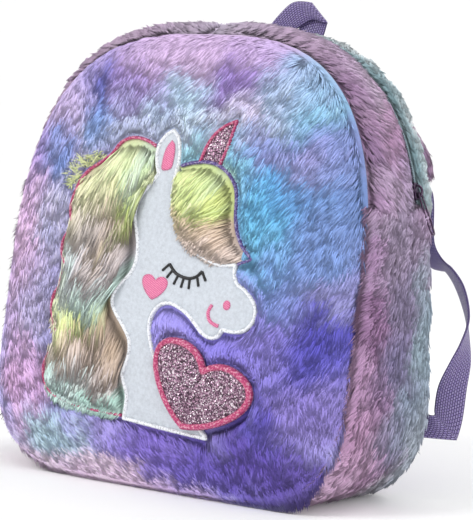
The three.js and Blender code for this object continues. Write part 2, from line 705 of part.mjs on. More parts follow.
// One lock of the mane or forelock: it swells from its root and tapers to a lifted tip
function hairLock(root, heading, length, width, rise) {
  const ground = felt_low + hair_ground;
  const low = ground - lock_root;
  const loops = lock_sections.along.map((share, k) => {
    const angle = (heading + lock_curl * (share - 0.5)) * degrees;
    const way = new THREE.Vector2(Math.cos(angle), Math.sin(angle));
    const half = (lock_sections.wide[k] * width) / 2;
    const high = ground + lock_sections.high[k] * rise;
    const section = [[-half, low], [-half * 0.5, high], [half * 0.5, high], [half, low]];
    return section.map(([aside, height]) => {
      const x = root.x + way.x * share * length - way.y * aside;
      return frontPoint(x, root.level + way.y * share * length + way.x * aside, height);
    });
  });
  return solidOf(loft(loops));
}

function hair(region, locks, length, width, rise, rooms) {
  const grown = locks.across.map((across, k) =>
    hairLock(onFigure(across, locks.up[k]), locks.heading[k], length, width, rise));
  const ground = slab(felt_low, felt_low + hair_ground).intersect(region);
  const over = joinAll(grown).intersect(region);
  return bodyOf(cutAll(ground.add(over), rooms));
}

const onFelt = (outline) => slab(face_low, face_high).intersect(prism(outline));

function eyelashes() {
  const lid = smooth(rowsOf(lash_arc), small_curve_step);
  const lash_section = raised(face_low, mix(face_low, face_high, 0.8));
  const beads = [bead(lid, lash_thickness, raised(face_low, face_high))];
  lash_headings.forEach((heading, k) => {
    const from = lid[Math.round((k * (lid.length - 1)) / (lash_headings.length - 1))];
    const to = {
      x: from.x + lash_length * Math.cos(heading * degrees),
      level: from.level + lash_length * Math.sin(heading * degrees),
    };
    beads.push(bead([from, to], lash_thickness, lash_section, false, lash_thickness * 0.6));
  });
  return bodyOf(joinAll(beads));
}

function nostrilOutline() {
  const { x, level } = onFigure(nostril_place.across, nostril_place.up);
  const curve = new THREE.EllipseCurve(x, level, nostril_width / 2, nostril_height / 2);
  return curve.getPoints(12).slice(0, -1).map((point) => ({ x: point.x, level: point.y }));
}

// Straps and handle
// Outermost fur of the back panel at a place, or its edge where the place is past it
function backSurfaceY(x, level) {
  const distance = (1 - fullness(x, level)) * bag_half_width;
  const relief = (1 + lock_unevenness) * lock_relief * Math.min(1, distance / pinch_width);
  return backPoint(x, level, furRise(distance, back_pile) + relief).y + seam_gap;
}

const padPoint = (path, k, half_thickness) => {
  const x = path.across[k] * bag_half_width;
  const level = path.up[k] * bag_height;
  const y = backSurfaceY(x, level) + half_thickness + path.behind[k] * strap_stand_off;
  return new THREE.Vector3(x, y, seam_height + level);
};

const pad_curve = new THREE.CatmullRomCurve3(pad_path.across.map((_, k) =>
  padPoint(pad_path, k, k === 0 ? pad_root_thickness / 2 : pad_thickness / 2)));

// A padded strap covered in fur: rounded sections along its curve, with locks hanging down it
function strapPad(side) {
  const around = 14;
  const loops = pad_sections.along.map((share, row) => {
    const centre = pad_curve.getPointAt(share);
    const way = pad_curve.getTangentAt(share);
    const across = new THREE.Vector3(-way.z, 0, way.x).normalize();
    const out = new THREE.Vector3().crossVectors(way, across).normalize();
    const grown = Math.min(1, share / pad_root_share);
    const thickness = mix(pad_root_thickness, pad_thickness, grown) * (share === 1 ? pad_end_share : 1);
    const half = (pad_width / 2) * pad_sections.wide[row];
    return Array.from({ length: around }, (_, k) => {
      const angle = (2 * Math.PI * k) / around;
      const tuft = row % 2 === 1 && k % 2 === 0 ? 1.06 : 0.98;
      const point = centre.clone();
      point.addScaledVector(across, half * tuft * signedPower(Math.cos(angle), 0.7));
      point.addScaledVector(out, (thickness / 2) * signedPower(Math.sin(angle), 0.7));
      return side > 0 ? point : point.multiply(new THREE.Vector3(-1, 1, 1));
    });
  });
  return loft(loops);
}

// A flat ribbon through centres, each with the half vector of its width
function ribbon(centres, halves) {
  const last = centres.length - 1;
  const loops = centres.map((centre, k) => {
    const way = centres[Math.min(last, k + 1)].clone().sub(centres[Math.max(0, k - 1)]);
    const thick = new THREE.Vector3().crossVectors(way, halves[k]).setLength(webbing_thickness / 2);
    return [[-1, -1], [1, -1], [1, 1], [-1, 1]].map(([a, b]) =>
      centre.clone().addScaledVector(halves[k], a).addScaledVector(thick, b));
  });
  return loft(loops);
}

function strapWebbing(side) {
  const end = pad_curve.getPointAt(1);
  const way = pad_curve.getTangentAt(1);
  const pad_across = new THREE.Vector3(-way.z, 0, way.x).normalize();
  const last = webbing_path.across.length - 1;
  const places = webbing_path.across.map((_, k) => padPoint(webbing_path, k, webbing_thickness / 2));
  places[last].x = panelHalfWidth(webbing_path.up[last] * bag_height) + seam_gap / 2;
  const halves = webbing_path.turn.map((turn, k) => {
    const lean = webbing_path.lean[k] * degrees;
    const half = (webbing_width / 2) * webbing_path.spread[k];
    return new THREE.Vector3(
      Math.cos(turn * degrees) * Math.cos(lean),
      Math.sin(turn * degrees) * Math.cos(lean),
      Math.sin(lean),
    ).multiplyScalar(half);
  });
  const centres = [end.clone().addScaledVector(way, seam_gap), end.clone().addScaledVector(way, webbing_start), ...places];
  const start = pad_across.clone().multiplyScalar(-webbing_width / 2);
  const all_halves = [start, start.clone(), ...halves];
  if (side < 0) {
    const mirror = new THREE.Vector3(-1, 1, 1);
    [...centres, ...all_halves].forEach((vector) => vector.multiply(mirror));
  }
  return ribbon(centres, all_halves);
}

function topHandle() {
  const nearest = back_seam_y + seam_gap + webbing_thickness / 2;
  const centres = handle_path.across.map((across, k) => {
    const x = handle_middle + across * handle_reach;
    const low = seam_height + panelTop(x) + seam_gap;
    return new THREE.Vector3(
      x,
      nearest + handle_path.forward[k] * handle_run_gap,
      low + handle_path.up[k] * handle_rise,
    );
  });
  const halves = handle_path.lean.map((lean, k) => {
    const half = (webbing_width / 2) * handle_path.spread[k];
    return new THREE.Vector3(Math.cos(lean * degrees), 0, Math.sin(lean * degrees)).multiplyScalar(half);
  });
  return ribbon(centres, halves);
}

// Assembly
const bag = new THREE.Group();
bag.name = 'backpack';

function addPiece(name, geometry, color, roughness = 0.95, metalness = 0, parent = bag) {
  const material = new THREE.MeshStandardMaterial({ color, roughness, metalness, flatShading: true });
  const mesh = new THREE.Mesh(geometry, material);
  mesh.name = name;
  parent.add(mesh);
  return mesh;
}

const front_fur = furPanel(frontPoint, pile, lock_length, lock_width);
addPiece('front_panel', bodyOf(solidOf(front_fur).subtract(figureRecess())), '#a9a4dc');
addPiece('back_panel', furPanel(backPoint, back_pile, back_lock_length, back_lock_width), '#b9c6d8');
addPiece(
  'base_gusset',
  furBand(base_turn, -0.5 - base_turn, gusset_front, gusset_back, (base_depth + top_depth) / 2),
  '#c19bbf',
);
const zip_front = () => tape_front_y - seam_gap / 2;
const front_band_width = top_depth - rear_band_width - tape_width;
addPiece('front_band', furBand(zip_turn, 0.5 - zip_turn, gusset_front, zip_front, front_band_width), '#c4a3c6');
const zip_back = () => tape_back_y + seam_gap / 2;
addPiece('rear_band', furBand(zip_turn, 0.5 - zip_turn, zip_back, gusset_back, rear_band_width), '#a9bccb');
addPiece('zip_tape', zipTape(), '#241d3d', 0.7);
addPiece('zip_coil', zipCoil(), '#1c1730', 0.5);

const slider_turn = turnAtLevel(zip_level + slider_above_end);
const slider_seam = seamAt(slider_turn);
const slider = new THREE.Group();
slider.position.set(slider_seam.x, tape_middle_y, seam_height + slider_seam.level);
slider.rotation.y = -Math.atan2(slider_seam.outward.y, slider_seam.outward.x);
bag.add(slider);
addPiece('zip_slider', zipSlider(), '#2b1a33', 0.35, 0.8, slider);
const tab = addPiece('pull_tab', pullTab(), '#2b1a33', 0.35, 0.8, slider);
tab.position.set(tab_pin_out, 0, -tab_pin_down);
tab.rotation.y = -tab_lean * degrees - slider.rotation.y;

addPiece('top_handle', topHandle(), '#5a3d8f', 0.8);
for (const [word, side] of [['right', 1], ['left', -1]]) {
  addPiece(`strap_pad_${word}`, strapPad(side), '#b995b8');
  addPiece(`strap_webbing_${word}`, strapWebbing(side), '#5a3d8f', 0.8);
}

const felt_region = slab(felt_low, felt_high).intersect(head_prism);
addPiece('head_felt', bodyOf(felt_region.subtract(head_room)), '#eef0f4', 0.9);
addPiece('head_edging', bodyOf(satinEdge(head, head_edge, felt_low, head_edge_high)), '#f7f7fa', 0.6);

const mane_region = mane_prism.subtract(head_prism);
const mane_rooms = [head_room, mane_room];
addPiece(
  'mane',
  hair(mane_region, mane_locks, mane_lock_length, mane_lock_width, mane_lock_rise, mane_rooms),
  '#cdd6a4',
);
const mane_edging = satinEdge(mane, mane_edge, felt_low, head_edge_high);
addPiece('mane_edging', bodyOf(mane_edging.subtract(head_room)), '#d9749c', 0.6);

const forelock_region = forelock_prism.subtract(head_prism);
const forelock_rooms = [head_room, forelock_room];
addPiece(
  'forelock',
  hair(forelock_region, forelock_locks, forelock_lock_length, forelock_lock_width, forelock_lock_rise, forelock_rooms),
  '#d8c9ae',
);
const forelock_edging = satinEdge(forelock, forelock_edge, felt_low, head_edge_high);
addPiece('forelock_edging', bodyOf(forelock_edging.subtract(head_room)), '#6d4f9c', 0.6);

const horn_field = slab(felt_low, felt_high).intersect(horn_prism);
addPiece('horn', bodyOf(cutAll(horn_field, [horn_room, forelock_room])), '#b48da6', 0.4, 0.2);
const horn_edging = satinEdge(horn, horn_edge, felt_low, head_edge_high);
addPiece('horn_edging', bodyOf(horn_edging.subtract(forelock_room)), '#d9648f', 0.6);

const heart_field = slab(heart_low, heart_high).intersect(heart_prism);
addPiece('heart', bodyOf(heart_field.subtract(heart_room)), '#b48da6', 0.4, 0.2);
const heart_edging = satinEdge(heart, heart_edge, heart_low, heart_high + stitch_rise);
addPiece('heart_edging', bodyOf(heart_edging), '#dc5f92', 0.6);

addPiece('ear_inner', bodyOf(onFelt(smooth(rowsOf(ear_inner_stroke), small_curve_step).slice(0, -1))), '#ea86ad', 0.6);
addPiece('cheek_heart', bodyOf(onFelt(outlineOf(cheek))), '#ea86ad', 0.6);
addPiece('eyelashes', eyelashes(), '#17151a', 0.6);
const mouth = smooth(rowsOf(mouth_stroke), small_curve_step);
addPiece('mouth', bodyOf(bead(mouth, mouth_thickness, raised(face_low, face_high))), '#e86a98', 0.6);
addPiece('nostril', bodyOf(onFelt(nostrilOutline())), '#e86a98', 0.6);

export default bag;
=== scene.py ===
"""Looks of a child's plush backpack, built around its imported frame.

Shapes are worked out in millimetres in the frame's own axes (+Z up, front to -Y) and become metres
when a mesh is made. "Level" is the height above the lowest seam, and "rise" is the height above a
panel's inner face.
"""
import math

import bpy
import numpy as np
from bpy.props import FloatProperty, FloatVectorProperty, PointerProperty
from bpy.types import Operator, Panel, PropertyGroup
from mathutils import Matrix, Vector
from mathutils.geometry import delaunay_2d_cdt


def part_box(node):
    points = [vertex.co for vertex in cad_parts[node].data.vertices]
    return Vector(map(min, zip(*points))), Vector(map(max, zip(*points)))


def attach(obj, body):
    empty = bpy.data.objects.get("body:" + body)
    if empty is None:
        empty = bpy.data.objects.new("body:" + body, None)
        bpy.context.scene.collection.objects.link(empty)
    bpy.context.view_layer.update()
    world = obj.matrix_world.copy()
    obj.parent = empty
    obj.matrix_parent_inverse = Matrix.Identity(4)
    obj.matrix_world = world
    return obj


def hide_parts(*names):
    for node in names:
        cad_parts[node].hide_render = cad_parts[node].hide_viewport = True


bl_info = {
    "name": "Plush backpack",
    "version": (1, 0, 0),
    "blender": (4, 5, 0),
    "location": "View3D > Sidebar > Backpack",
    "description": "Fur, felt, stitching, webbing and zip of a child's plush backpack",
    "category": "Object",
}

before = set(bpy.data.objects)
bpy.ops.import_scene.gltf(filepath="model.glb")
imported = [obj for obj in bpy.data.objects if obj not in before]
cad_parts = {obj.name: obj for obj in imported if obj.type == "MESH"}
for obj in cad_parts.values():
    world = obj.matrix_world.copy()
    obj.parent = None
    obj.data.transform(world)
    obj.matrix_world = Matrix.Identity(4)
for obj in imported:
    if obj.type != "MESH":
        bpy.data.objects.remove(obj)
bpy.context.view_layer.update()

MM = 0.001
BAG = "bag"

# Seam lines and panels
HALF_WIDTH, HEIGHT, WIDEST = 140.0, 300.0, 115.0
DOME_POWER, BASE_POWER = 2.9, 4.5
BASE_DEPTH, TOP_DEPTH = 100.0, 62.0
FRONT_BULGE, BACK_BULGE = 18.0, 6.0
SEAM_HEIGHT, SEAM_GAP = 6.0, 0.3
BACKING, SEAM_PILE, PINCH = 2.0, 1.5, 12.0
EDGE = BACKING + SEAM_PILE
BACK_SEAM_Y = BASE_DEPTH / 2
UPPER_REACH = HEIGHT - WIDEST
FLOOR_CLEARANCE = 0.4

# Zip
ZIP_LEVEL, REAR_BAND, TAPE_WIDTH = 195.0, 8.0, 9.0
TAPE_BACK = BACK_SEAM_Y - REAR_BAND
TAPE_FRONT = TAPE_BACK - TAPE_WIDTH
TAPE_MIDDLE = (TAPE_BACK + TAPE_FRONT) / 2

# Figure on the front
FIGURE = dict(left=-94.0, bottom=36.0, width=175.0, height=209.0)
GROUND, FELT_LOW, FELT_HIGH = 3.7, 4.0, 6.0
STITCH_RISE, FACE_LOW, FACE_HIGH = 1.2, 6.3, 7.2
HEART_LOW, HEART_HIGH = 7.8, 10.0
EDGES = dict(head=3.0, mane=2.6, forelock=2.8, horn=2.4, heart=4.6)


def linear(hex_colour):
    """Linear red, green and blue of an sRGB hex colour."""
    value = np.array([int(hex_colour[k:k + 2], 16) / 255 for k in (1, 3, 5)])
    return np.where(value <= 0.04045, value / 12.92, ((value + 0.055) / 1.055) ** 2.4)


FRONT_GAIN, SIDE_GAIN, HAIR_GAIN = 1.35, 1.12, 1.4  # lighten the dyed hairs, because they shade each other

# Dye and painted shade: each pool of colour has a place and a size across and up the panel, a colour and a
# strength
POOL_NAMES = ("name", "across", "up", "wide", "tall", "colour", "strength")
FRONT_GROUND = "#a8a2dd"
# These pools are the tie-dye with painted shade mixed in: those on the right third of the front are darker
# and less blue, where less of the light from the front left falls.
FRONT_POOLS = [
    ("ink spot", -72, 277, 9, 12, "#4750b6", 2.6),
    ("ink drip", -64, 255, 7, 12, "#4f8bd4", 1.7),
    ("orchid by the ink", -44, 275, 20, 13, "#9877c4", 1.5),
    ("pink crown", -2, 295, 46, 12, "#cbaad4", 1.7),
    ("pale middle", 2, 243, 16, 9, "#bcc4e8", 1.4),
    ("plum streak", 44, 281, 13, 10, "#8560be", 1.9),
    ("mist", -28, 250, 36, 15, "#b6c0e6", 1.2),
    ("ice", 6, 262, 18, 13, "#a6cbe8", 1.4),
    ("lilac shoulder", -106, 255, 18, 20, "#c6aee0", 1.3),
    ("left blue", -101, 227, 9, 13, "#5488d6", 2.0),
    ("violet rim", -120, 230, 8, 16, "#7b70c8", 1.6),
    ("pink rim", -124, 178, 13, 42, "#deb2e4", 1.6),
    ("left mist", -102, 188, 12, 22, "#bcbbea", 1.2),
    ("cyan by the horn", 14, 228, 14, 12, "#8ad2e8", 1.5),
    ("cyan past the horn", 50, 229, 11, 13, "#74c6ea", 1.6),
    ("mint stain", 43, 214, 9, 10, "#aedcc2", 1.7),
    ("pearl", 60, 260, 20, 12, "#d3c4e6", 1.4),
    ("sky", 88, 271, 16, 13, "#92b6dc", 1.5),
    ("aqua", 100, 256, 16, 12, "#7cc0e2", 1.5),
    ("cornflower", 88, 239, 28, 8, "#7a88cc", 1.7),
    ("lilac spot", 100, 228, 16, 7, "#a796d2", 1.5),
    ("azure", 84, 205, 20, 14, "#48a9ea", 2.0),
    ("azure low", 78, 179, 16, 18, "#55bde8", 1.9),
    ("blue rim", 118, 198, 18, 26, "#6088c6", 1.4),
    ("blue field", 103, 163, 24, 14, "#6e95d8", 1.4),
    ("blue low", 94, 141, 13, 12, "#6a86cc", 1.5),
    ("grey lilac", 129, 148, 12, 9, "#8c86c2", 1.4),
    ("indigo spot", 126, 118, 12, 12, "#372eb0", 2.2),
    ("indigo low", 119, 97, 14, 11, "#4338b6", 1.7),
    ("violet field", 88, 112, 24, 18, "#7f70cf", 1.3),
    ("violet low", 120, 72, 20, 14, "#8470c6", 1.4),
    ("deep pocket", 92, 63, 13, 12, "#4c38b8", 1.8),
    ("deep violet", 84, 33, 24, 13, "#4b2d9e", 2.6),
    ("deep right", 112, 25, 18, 10, "#5a3fa6", 2.0),
    ("deep left", 44, 24, 32, 9, "#6249bb", 2.2),
    ("violet under the neck", -2, 31, 22, 9, "#8064d0", 2.0),
    ("periwinkle under the mane", -46, 38, 20, 8, "#a394e2", 1.5),
    ("sky corner", -82, 27, 18, 11, "#abcdf0", 1.9),
    ("magenta rim", -117, 72, 10, 24, "#deaae0", 1.8),
    ("left periwinkle", -110, 116, 11, 20, "#b8b2e8", 1.4),
    ("pink hem", -58, 6, 40, 9, "#e3c2e6", 2.2),
    ("lilac hem", 8, 1, 26, 5, "#c2a5de", 1.8),
    ("throat", 14, 112, 18, 18, "#968ae8", 1.5),
    ("by the heart", 58, 92, 22, 14, "#7364cf", 1.5),
]
# Across is y and up is the distance along the seam line from the widest level
SIDE_GROUND = "#c29ec8"
# These pools are the tie-dye with painted shade mixed in: those on the lower part of the gusset are greyer
# and darker, where less light falls.
SIDE_POOLS = [
    ("pale crown", -12, 290, 30, 40, "#cbbdd8", 1.5),
    ("pink crown", -18, 235, 14, 30, "#d0a6d2", 1.3),
    ("mauve shoulder", -18, 160, 11, 16, "#b482ba", 1.7),
    ("pearl", -4, 155, 10, 16, "#d4bcd8", 1.4),
    ("rose by the zip", 2, 128, 14, 16, "#c48ebe", 1.5),
    ("lilac", 10, 108, 9, 12, "#bca6d4", 1.2),
    ("mauve fold", -21, 118, 8, 12, "#ae84ba", 1.5),
    ("pale mauve", -8, 92, 13, 18, "#c9aacf", 1.2),
    ("grey lilac", 6, 66, 16, 18, "#a896b8", 1.4),
    ("rose seam", -26, 70, 9, 18, "#c090c6", 1.3),
    ("grey mauve", 14, 18, 14, 15, "#968ab4", 1.5),
    ("plum", -16, 8, 11, 12, "#9f6ca2", 1.8),
    ("pale seam", -33, -16, 7, 14, "#d2a0d2", 1.5),
    ("slate", 6, -12, 13, 12, "#877fb2", 1.5),
    ("rear teal", 40, -2, 10, 28, "#9fbccc", 2.0),
    ("plum low", -10, -35, 11, 12, "#a27aae", 1.4),
    ("blue grey", 22, -43, 13, 16, "#9aafcb", 1.8),
    ("slate low", 12, -66, 10, 11, "#978eb8", 1.6),
    ("rear mist", 42, -74, 11, 24, "#b6c6d6", 2.0),
    ("rose low", -30, -60, 10, 18, "#d79ed0", 1.5),
    ("rose", 4, -86, 12, 13, "#ca93c6", 1.4),
    ("grey corner", 30, -112, 18, 20, "#cdc2d2", 1.5),
    ("pink base", -25, -130, 26, 34, "#e3b6dc", 2.0),
]
BACK_GROUND = "#b3b9dc"
BACK_POOLS = [
    ("pink shoulder", -80, 245, 40, 34, "#d2a8d8", 1.5),
    ("sky shoulder", 85, 235, 42, 36, "#9fc4e6", 1.6),
    ("ice crown", 5, 285, 50, 22, "#b3cfe0", 1.5),
    ("violet middle", 20, 170, 40, 30, "#9a90de", 1.5),
    ("azure left", -85, 150, 32, 40, "#7fb2e8", 1.6),
    ("orchid right", 100, 130, 26, 36, "#bd94d4", 1.4),
    ("pearl middle", -20, 105, 34, 24, "#d4c8e8", 1.4),
    ("deep violet", 45, 62, 44, 24, "#6a55c8", 1.8),
    ("sky low", -75, 55, 40, 28, "#93b8ee", 1.5),
    ("pink hem", 0, 12, 80, 12, "#d6a6da", 1.7),
    ("teal rim", 138, 120, 12, 120, "#a9c6d4", 2.2),
    ("teal rim left", -138, 120, 12, 120, "#a9c6d4", 2.2),
    ("teal crown", 0, 304, 120, 9, "#a9c6d4", 2.2),
]
# Hair of the figure, in hundredths of its width and height
HAIR_GROUND = "#c9bcb4"
HAIR_POOLS = [
    ("mint crest", 38, 88, 6, 5, "#c3dfc4", 1.8),
    ("pale lime crest", 29, 88, 7, 5, "#d1e2a2", 2.0),
    ("olive by the ear", 39, 78, 6, 5, "#b6c962", 2.2),
    ("pale lime left", 20, 82, 7, 4, "#d9dfa4", 2.0),
    ("straw left", 13, 75, 7, 5, "#d5ceae", 1.8),
    ("sand", 25, 73, 7, 5, "#cbb89e", 1.8),
    ("brown by the neck", 32, 67, 6, 6, "#bba48c", 1.9),
    ("rose grey", 20, 68, 7, 4, "#cbbfb8", 1.6),
    ("grey lilac hair", 24, 62, 8, 5, "#c6bfc9", 1.8),
    ("lilac by the neck", 36, 59, 5, 6, "#b9b3c0", 1.8),
    ("silver bend", 12, 58, 7, 4, "#c8d3d4", 1.7),
    ("mint", 19, 53, 8, 4, "#b9d6cd", 2.0),
    ("teal", 28, 50, 8, 6, "#adcac1", 2.0),
    ("pale lime bend", 11, 48, 6, 3, "#c8d8a8", 1.6),
    ("lime middle", 14, 42, 8, 4, "#cfdc84", 2.2),
    ("olive middle", 24, 39, 6, 4, "#bccb60", 2.0),
    ("ochre", 19, 35, 8, 3, "#b8ab70", 1.7),
    ("rose sand", 8, 31, 7, 6, "#dccdbb", 1.8),
    ("sand middle", 16, 29, 7, 5, "#cdb8a6", 1.7),
    ("brown sand", 31, 30, 8, 6, "#b0977c", 1.9),
    ("grey rose", 26, 22, 14, 5, "#c8b8bc", 1.7),
    ("silver", 9, 19, 8, 6, "#ccd4d8", 1.8),
    ("mint foot", 18, 12, 14, 6, "#b2dcd0", 2.2),
    ("teal foot", 36, 10, 9, 6, "#a0ccc0", 2.0),
    ("forelock lime", 64, 82, 8, 4, "#cfe38c", 2.0),
    ("forelock mint", 75, 84, 8, 3, "#c9e0a8", 1.8),
    ("forelock olive", 72, 77, 12, 3, "#c5d572", 2.0),
    ("forelock sand", 64, 71, 8, 4, "#c4b08e", 1.9),
    ("forelock brown", 76, 69, 8, 4, "#c2a98e", 1.9),
    ("forelock rose", 78, 61, 12, 5, "#cbb7ac", 1.9),
]
# Lie of the pile: place across and up, and the way it runs in degrees (270 is straight down)
FRONT_LIE = [
    (-2, 292, 228), (60, 284, 236), (108, 240, 244), (-50, 276, 248), (-70, 262, 268), (-108, 240, 262),
    (-118, 160, 262), (-116, 90, 284), (-92, 26, 322), (-40, 22, 326), (20, 14, 322), (70, 26, 300),
    (118, 36, 262), (92, 96, 260), (122, 140, 250), (84, 184, 242), (50, 222, 240), (0, 244, 238),
    (-40, 250, 264), (60, 96, 262), (14, 112, 262),
]
BAND_LIE = [(-12, 290, 296), (-12, 220, 318), (-18, 160, 330), (4, 120, 318), (-14, 95, 322), (8, 85, 306)]
SIDE_LIE = [
    (-14, 70, 224), (14, 66, 218), (-18, 20, 222), (14, 16, 220), (38, 0, 246), (-24, -40, 224),
    (14, -50, 226), (38, -70, 246), (-26, -90, 226), (20, -110, 236), (-20, -150, 226),
]
HAIR_LIE = [
    (36, 88, 262), (28, 88, 254), (18, 84, 246), (40, 76, 252), (14, 72, 262), (28, 66, 266), (36, 57, 232),
    (12, 54, 260), (22, 50, 268), (34, 46, 224), (18, 40, 262), (34, 34, 250), (12, 32, 266), (28, 24, 256),
    (10, 18, 270), (26, 12, 250), (38, 10, 240), (58, 82, 248), (72, 82, 232), (60, 72, 240), (70, 70, 228),
    (80, 66, 224),
]

# Outlines of the figure, each stroke one smooth curve, in hundredths of its width and height
HEAD_STROKES = [
    ((50, 53, 54.6, 55, 54.3, 54.3, 56.5, 60.7, 66.8, 74.4, 81, 86.8),
     (96, 93.5, 89.5, 86, 81.5, 75.5, 69.5, 63.3, 58.7, 55.7, 54.5, 55)),
    ((86.8, 87, 88.6, 92.5, 96.5, 97.7, 96.8, 93.8, 89, 84.5),
     (55, 51.8, 49.2, 47.2, 43.8, 41, 37.6, 35, 34.2, 34.6)),
    ((84.5, 82.6, 79.8, 76, 72.7, 69.4, 64.7, 60, 56, 53, 51.4, 51.7, 53.2, 56, 64, 81.5),
     (34.6, 32.2, 31.6, 32.8, 35.2, 37.6, 39.8, 41, 40.5, 38.3, 35, 31.4, 27.6, 23, 16, 0)),
    ((81.5, 62, 43), (0, 1.2, 2.6)),
    ((43, 43.8, 43.9, 42, 41, 42.4, 43.4, 42.6, 39.5, 35.5, 32.6, 32.4, 35, 39.8, 41.6, 41.2,
      39.6, 38, 38.2, 40.3, 43.5, 46.4),
     (2.6, 7, 10.5, 14.5, 17, 20.5, 24.5, 28.2, 31.8, 35.4, 38.7, 41.6, 45.2, 49.6, 54, 59, 63.4,
      67.4, 71, 75.2, 78.6, 81.8)),
    ((46.4, 44.8, 44, 44.8, 47.2, 50), (81.8, 85, 88.6, 92, 94.6, 96)),
]
MANE_STROKES = [
    ((45.4, 40, 34, 28.7, 25, 22.2, 17, 11.4, 7.6, 5.8, 4.3, 5.4, 8),
     (89.4, 91.8, 93, 92.6, 90.8, 87.6, 84.4, 81.6, 78, 74.4, 69.5, 65.6, 62.6)),
    ((8, 4.2, 2.5, 3.3, 6.4), (62.6, 60, 56.6, 52.6, 49.4)),
    ((6.4, 4.3, 3.6, 1.3, 0.8, 2.8, 8.6), (49.4, 45.4, 42.4, 39.6, 35.6, 31, 23.8)),
    ((8.6, 3.4, 0.8, 0.4, 2.4, 7.2, 12.6, 20, 30.5, 43.4),
     (23.8, 21, 17.5, 13.8, 9.8, 6.8, 5.5, 4.4, 3.8, 3.4)),
]
MANE_INSIDE = ((48, 48, 49), (6, 60, 86))
FORELOCK_STROKES = [
    ((55.2, 59.7, 66, 71.2, 76, 79.8, 82.5, 83.6, 84.2, 86, 89, 93.8),
     (84.4, 85.6, 86.4, 86.1, 84.5, 82, 78.7, 74.8, 70, 64.8, 60.6, 57)),
    ((93.8, 90.3, 86.9), (57, 56, 54.9)),
]
FORELOCK_INSIDE = ((84, 70, 60, 53, 52, 53), (52, 54, 59, 68, 78, 83.5))
HORN_STROKES = [
    ((64.7, 66.6, 69.4, 73.2, 78), (86.4, 91.6, 95.5, 98.2, 100)),
    ((78, 77.3, 76.4, 75.4, 73.8), (100, 96.7, 92.8, 89.6, 86)),
]
EAR_STROKE = ((50.3, 48.3, 47.5, 47.8, 49.6, 52, 52.5, 52.5, 51.8, 50.3),
              (92.8, 90.2, 86.2, 83.2, 83, 83.8, 86, 89, 91.6, 92.8))
LASH_ARC = ((57.8, 61, 64.6, 68, 71, 73), (53.4, 50.8, 49.7, 49.5, 50.4, 52))
LASH_HEADINGS = (222, 232, 245, 258, 270, 288, 302)
MOUTH_STROKE = ((79.2, 77.9, 78.8, 81.2, 83), (42, 39.6, 37.2, 35.9, 35.6))
NOSTRIL = (85.6, 42.3, 5.4, 6.4)
HEART_HALF = ((0, 0.12, 0.3, 0.53, 0.79, 0.93, 1, 0.98, 0.9, 0.72, 0.48, 0.21, 0),
              (0.81, 0.91, 0.99, 1.015, 0.975, 0.905, 0.8, 0.66, 0.53, 0.36, 0.2, 0.07, 0))
HEART = dict(tip=(71.8, 3.2), width=77.0, height=49.0, tilt=20.0)
CHEEK = dict(tip=(51.4, 41.6), width=21.0, height=16.0, tilt=5.0)

# Straps and handle, as shares of the half width, the height and the stand-off
STAND_OFF, PAD_WIDTH, PAD_THICKNESS, PAD_ROOT = 40.0, 46.0, 13.0, 4.0
WEB_WIDTH, WEB_THICKNESS = 20.0, 1.6
LOCK_RELIEF, BACK_PILE = 2.2, 8.0
PAD_PATH = ((0.27, 0.36, 0.5, 0.66, 0.8), (0.985, 0.93, 0.86, 0.775, 0.687), (0.04, 0.1, 0.18, 0.26, 0.3))
PAD_ROUND = 17.0  # radius of the circle that the distance round its section is told on
PAD_WIDE = ((0, 0.12, 0.3, 0.5, 0.7, 0.88, 0.97, 1), (0.62, 0.86, 1, 1, 1, 0.98, 0.86, 0.7))
WEB_PATH = (
    (0.907, 0.944, 0.995, 1.04, 1.104, 1.165, 1.17, 1.158, 1.134, 1.128, 1.13, 1.137, 1.04),
    (0.543, 0.517, 0.507, 0.502, 0.468, 0.4, 0.345, 0.298, 0.239, 0.175, 0.151, 0.151, 0.153),
    (0.42, 0.5, 0.58, 0.62, 0.6, 0.54, 0.48, 0.43, 0.36, 0.3, 0.22, 0.1, 0),
)
WEB_TURN = (148, 136, 124, 128, 134, 124, 100, 70, 38, 34, 34, 34, 180)
WEB_LEAN = (-32, -30, -20, -12, -5, 0, 0, 0, -4, -22, -45, -45, -83)
WEB_SPREAD = (1, 1, 1, 1, 1, 1, 1, 1, 1, 1.05, 1.15, 1.15, 0.9)
HANDLE = dict(middle=24.0, reach=14.0, rise=22.0, run_gap=3.2)
HANDLE_PATH = (
    (-1, -0.6, -0.05, 0.75, 1.5, 1.62, 1.62, 1.5, 1.22, 1),
    (0, 0.3, 0.62, 0.98, 1, 1, 1, 0.95, 0.45, 0),
    (0.1, 0.1, 0.1, 0.1, 0.15, 0.45, 0.6, 1, 1, 0.3),
)
HANDLE_LEAN = (-1, -10, -24, -36, -45, -45, -45, -40, -18, -6.5)
HANDLE_SPREAD = (0.9, 0.95, 1, 1.05, 1.05, 1.05, 1.05, 1.05, 1.05, 1.1)


class FurSizes(PropertyGroup):
    front_length: FloatProperty(
        name="Front hair", description="Length of the front's guard hairs that shows",
        default=0.0165, min=0.004, unit="LENGTH")
    side_length: FloatProperty(
        name="Side hair", description="Length of the gusset's guard hairs that shows",
        default=0.0165, min=0.004, unit="LENGTH")
    back_length: FloatProperty(
        name="Back hair", description="Length of the back's guard hairs that shows",
        default=0.015, min=0.004, unit="LENGTH")
    mane_length: FloatProperty(
        name="Mane hair", description="Length of the hair of the figure",
        default=0.034, min=0.004, unit="LENGTH")
    hair_width: FloatProperty(
        name="Hair width", description="Width of one lock of hairs",
        default=0.0008, min=0.0003, unit="LENGTH")


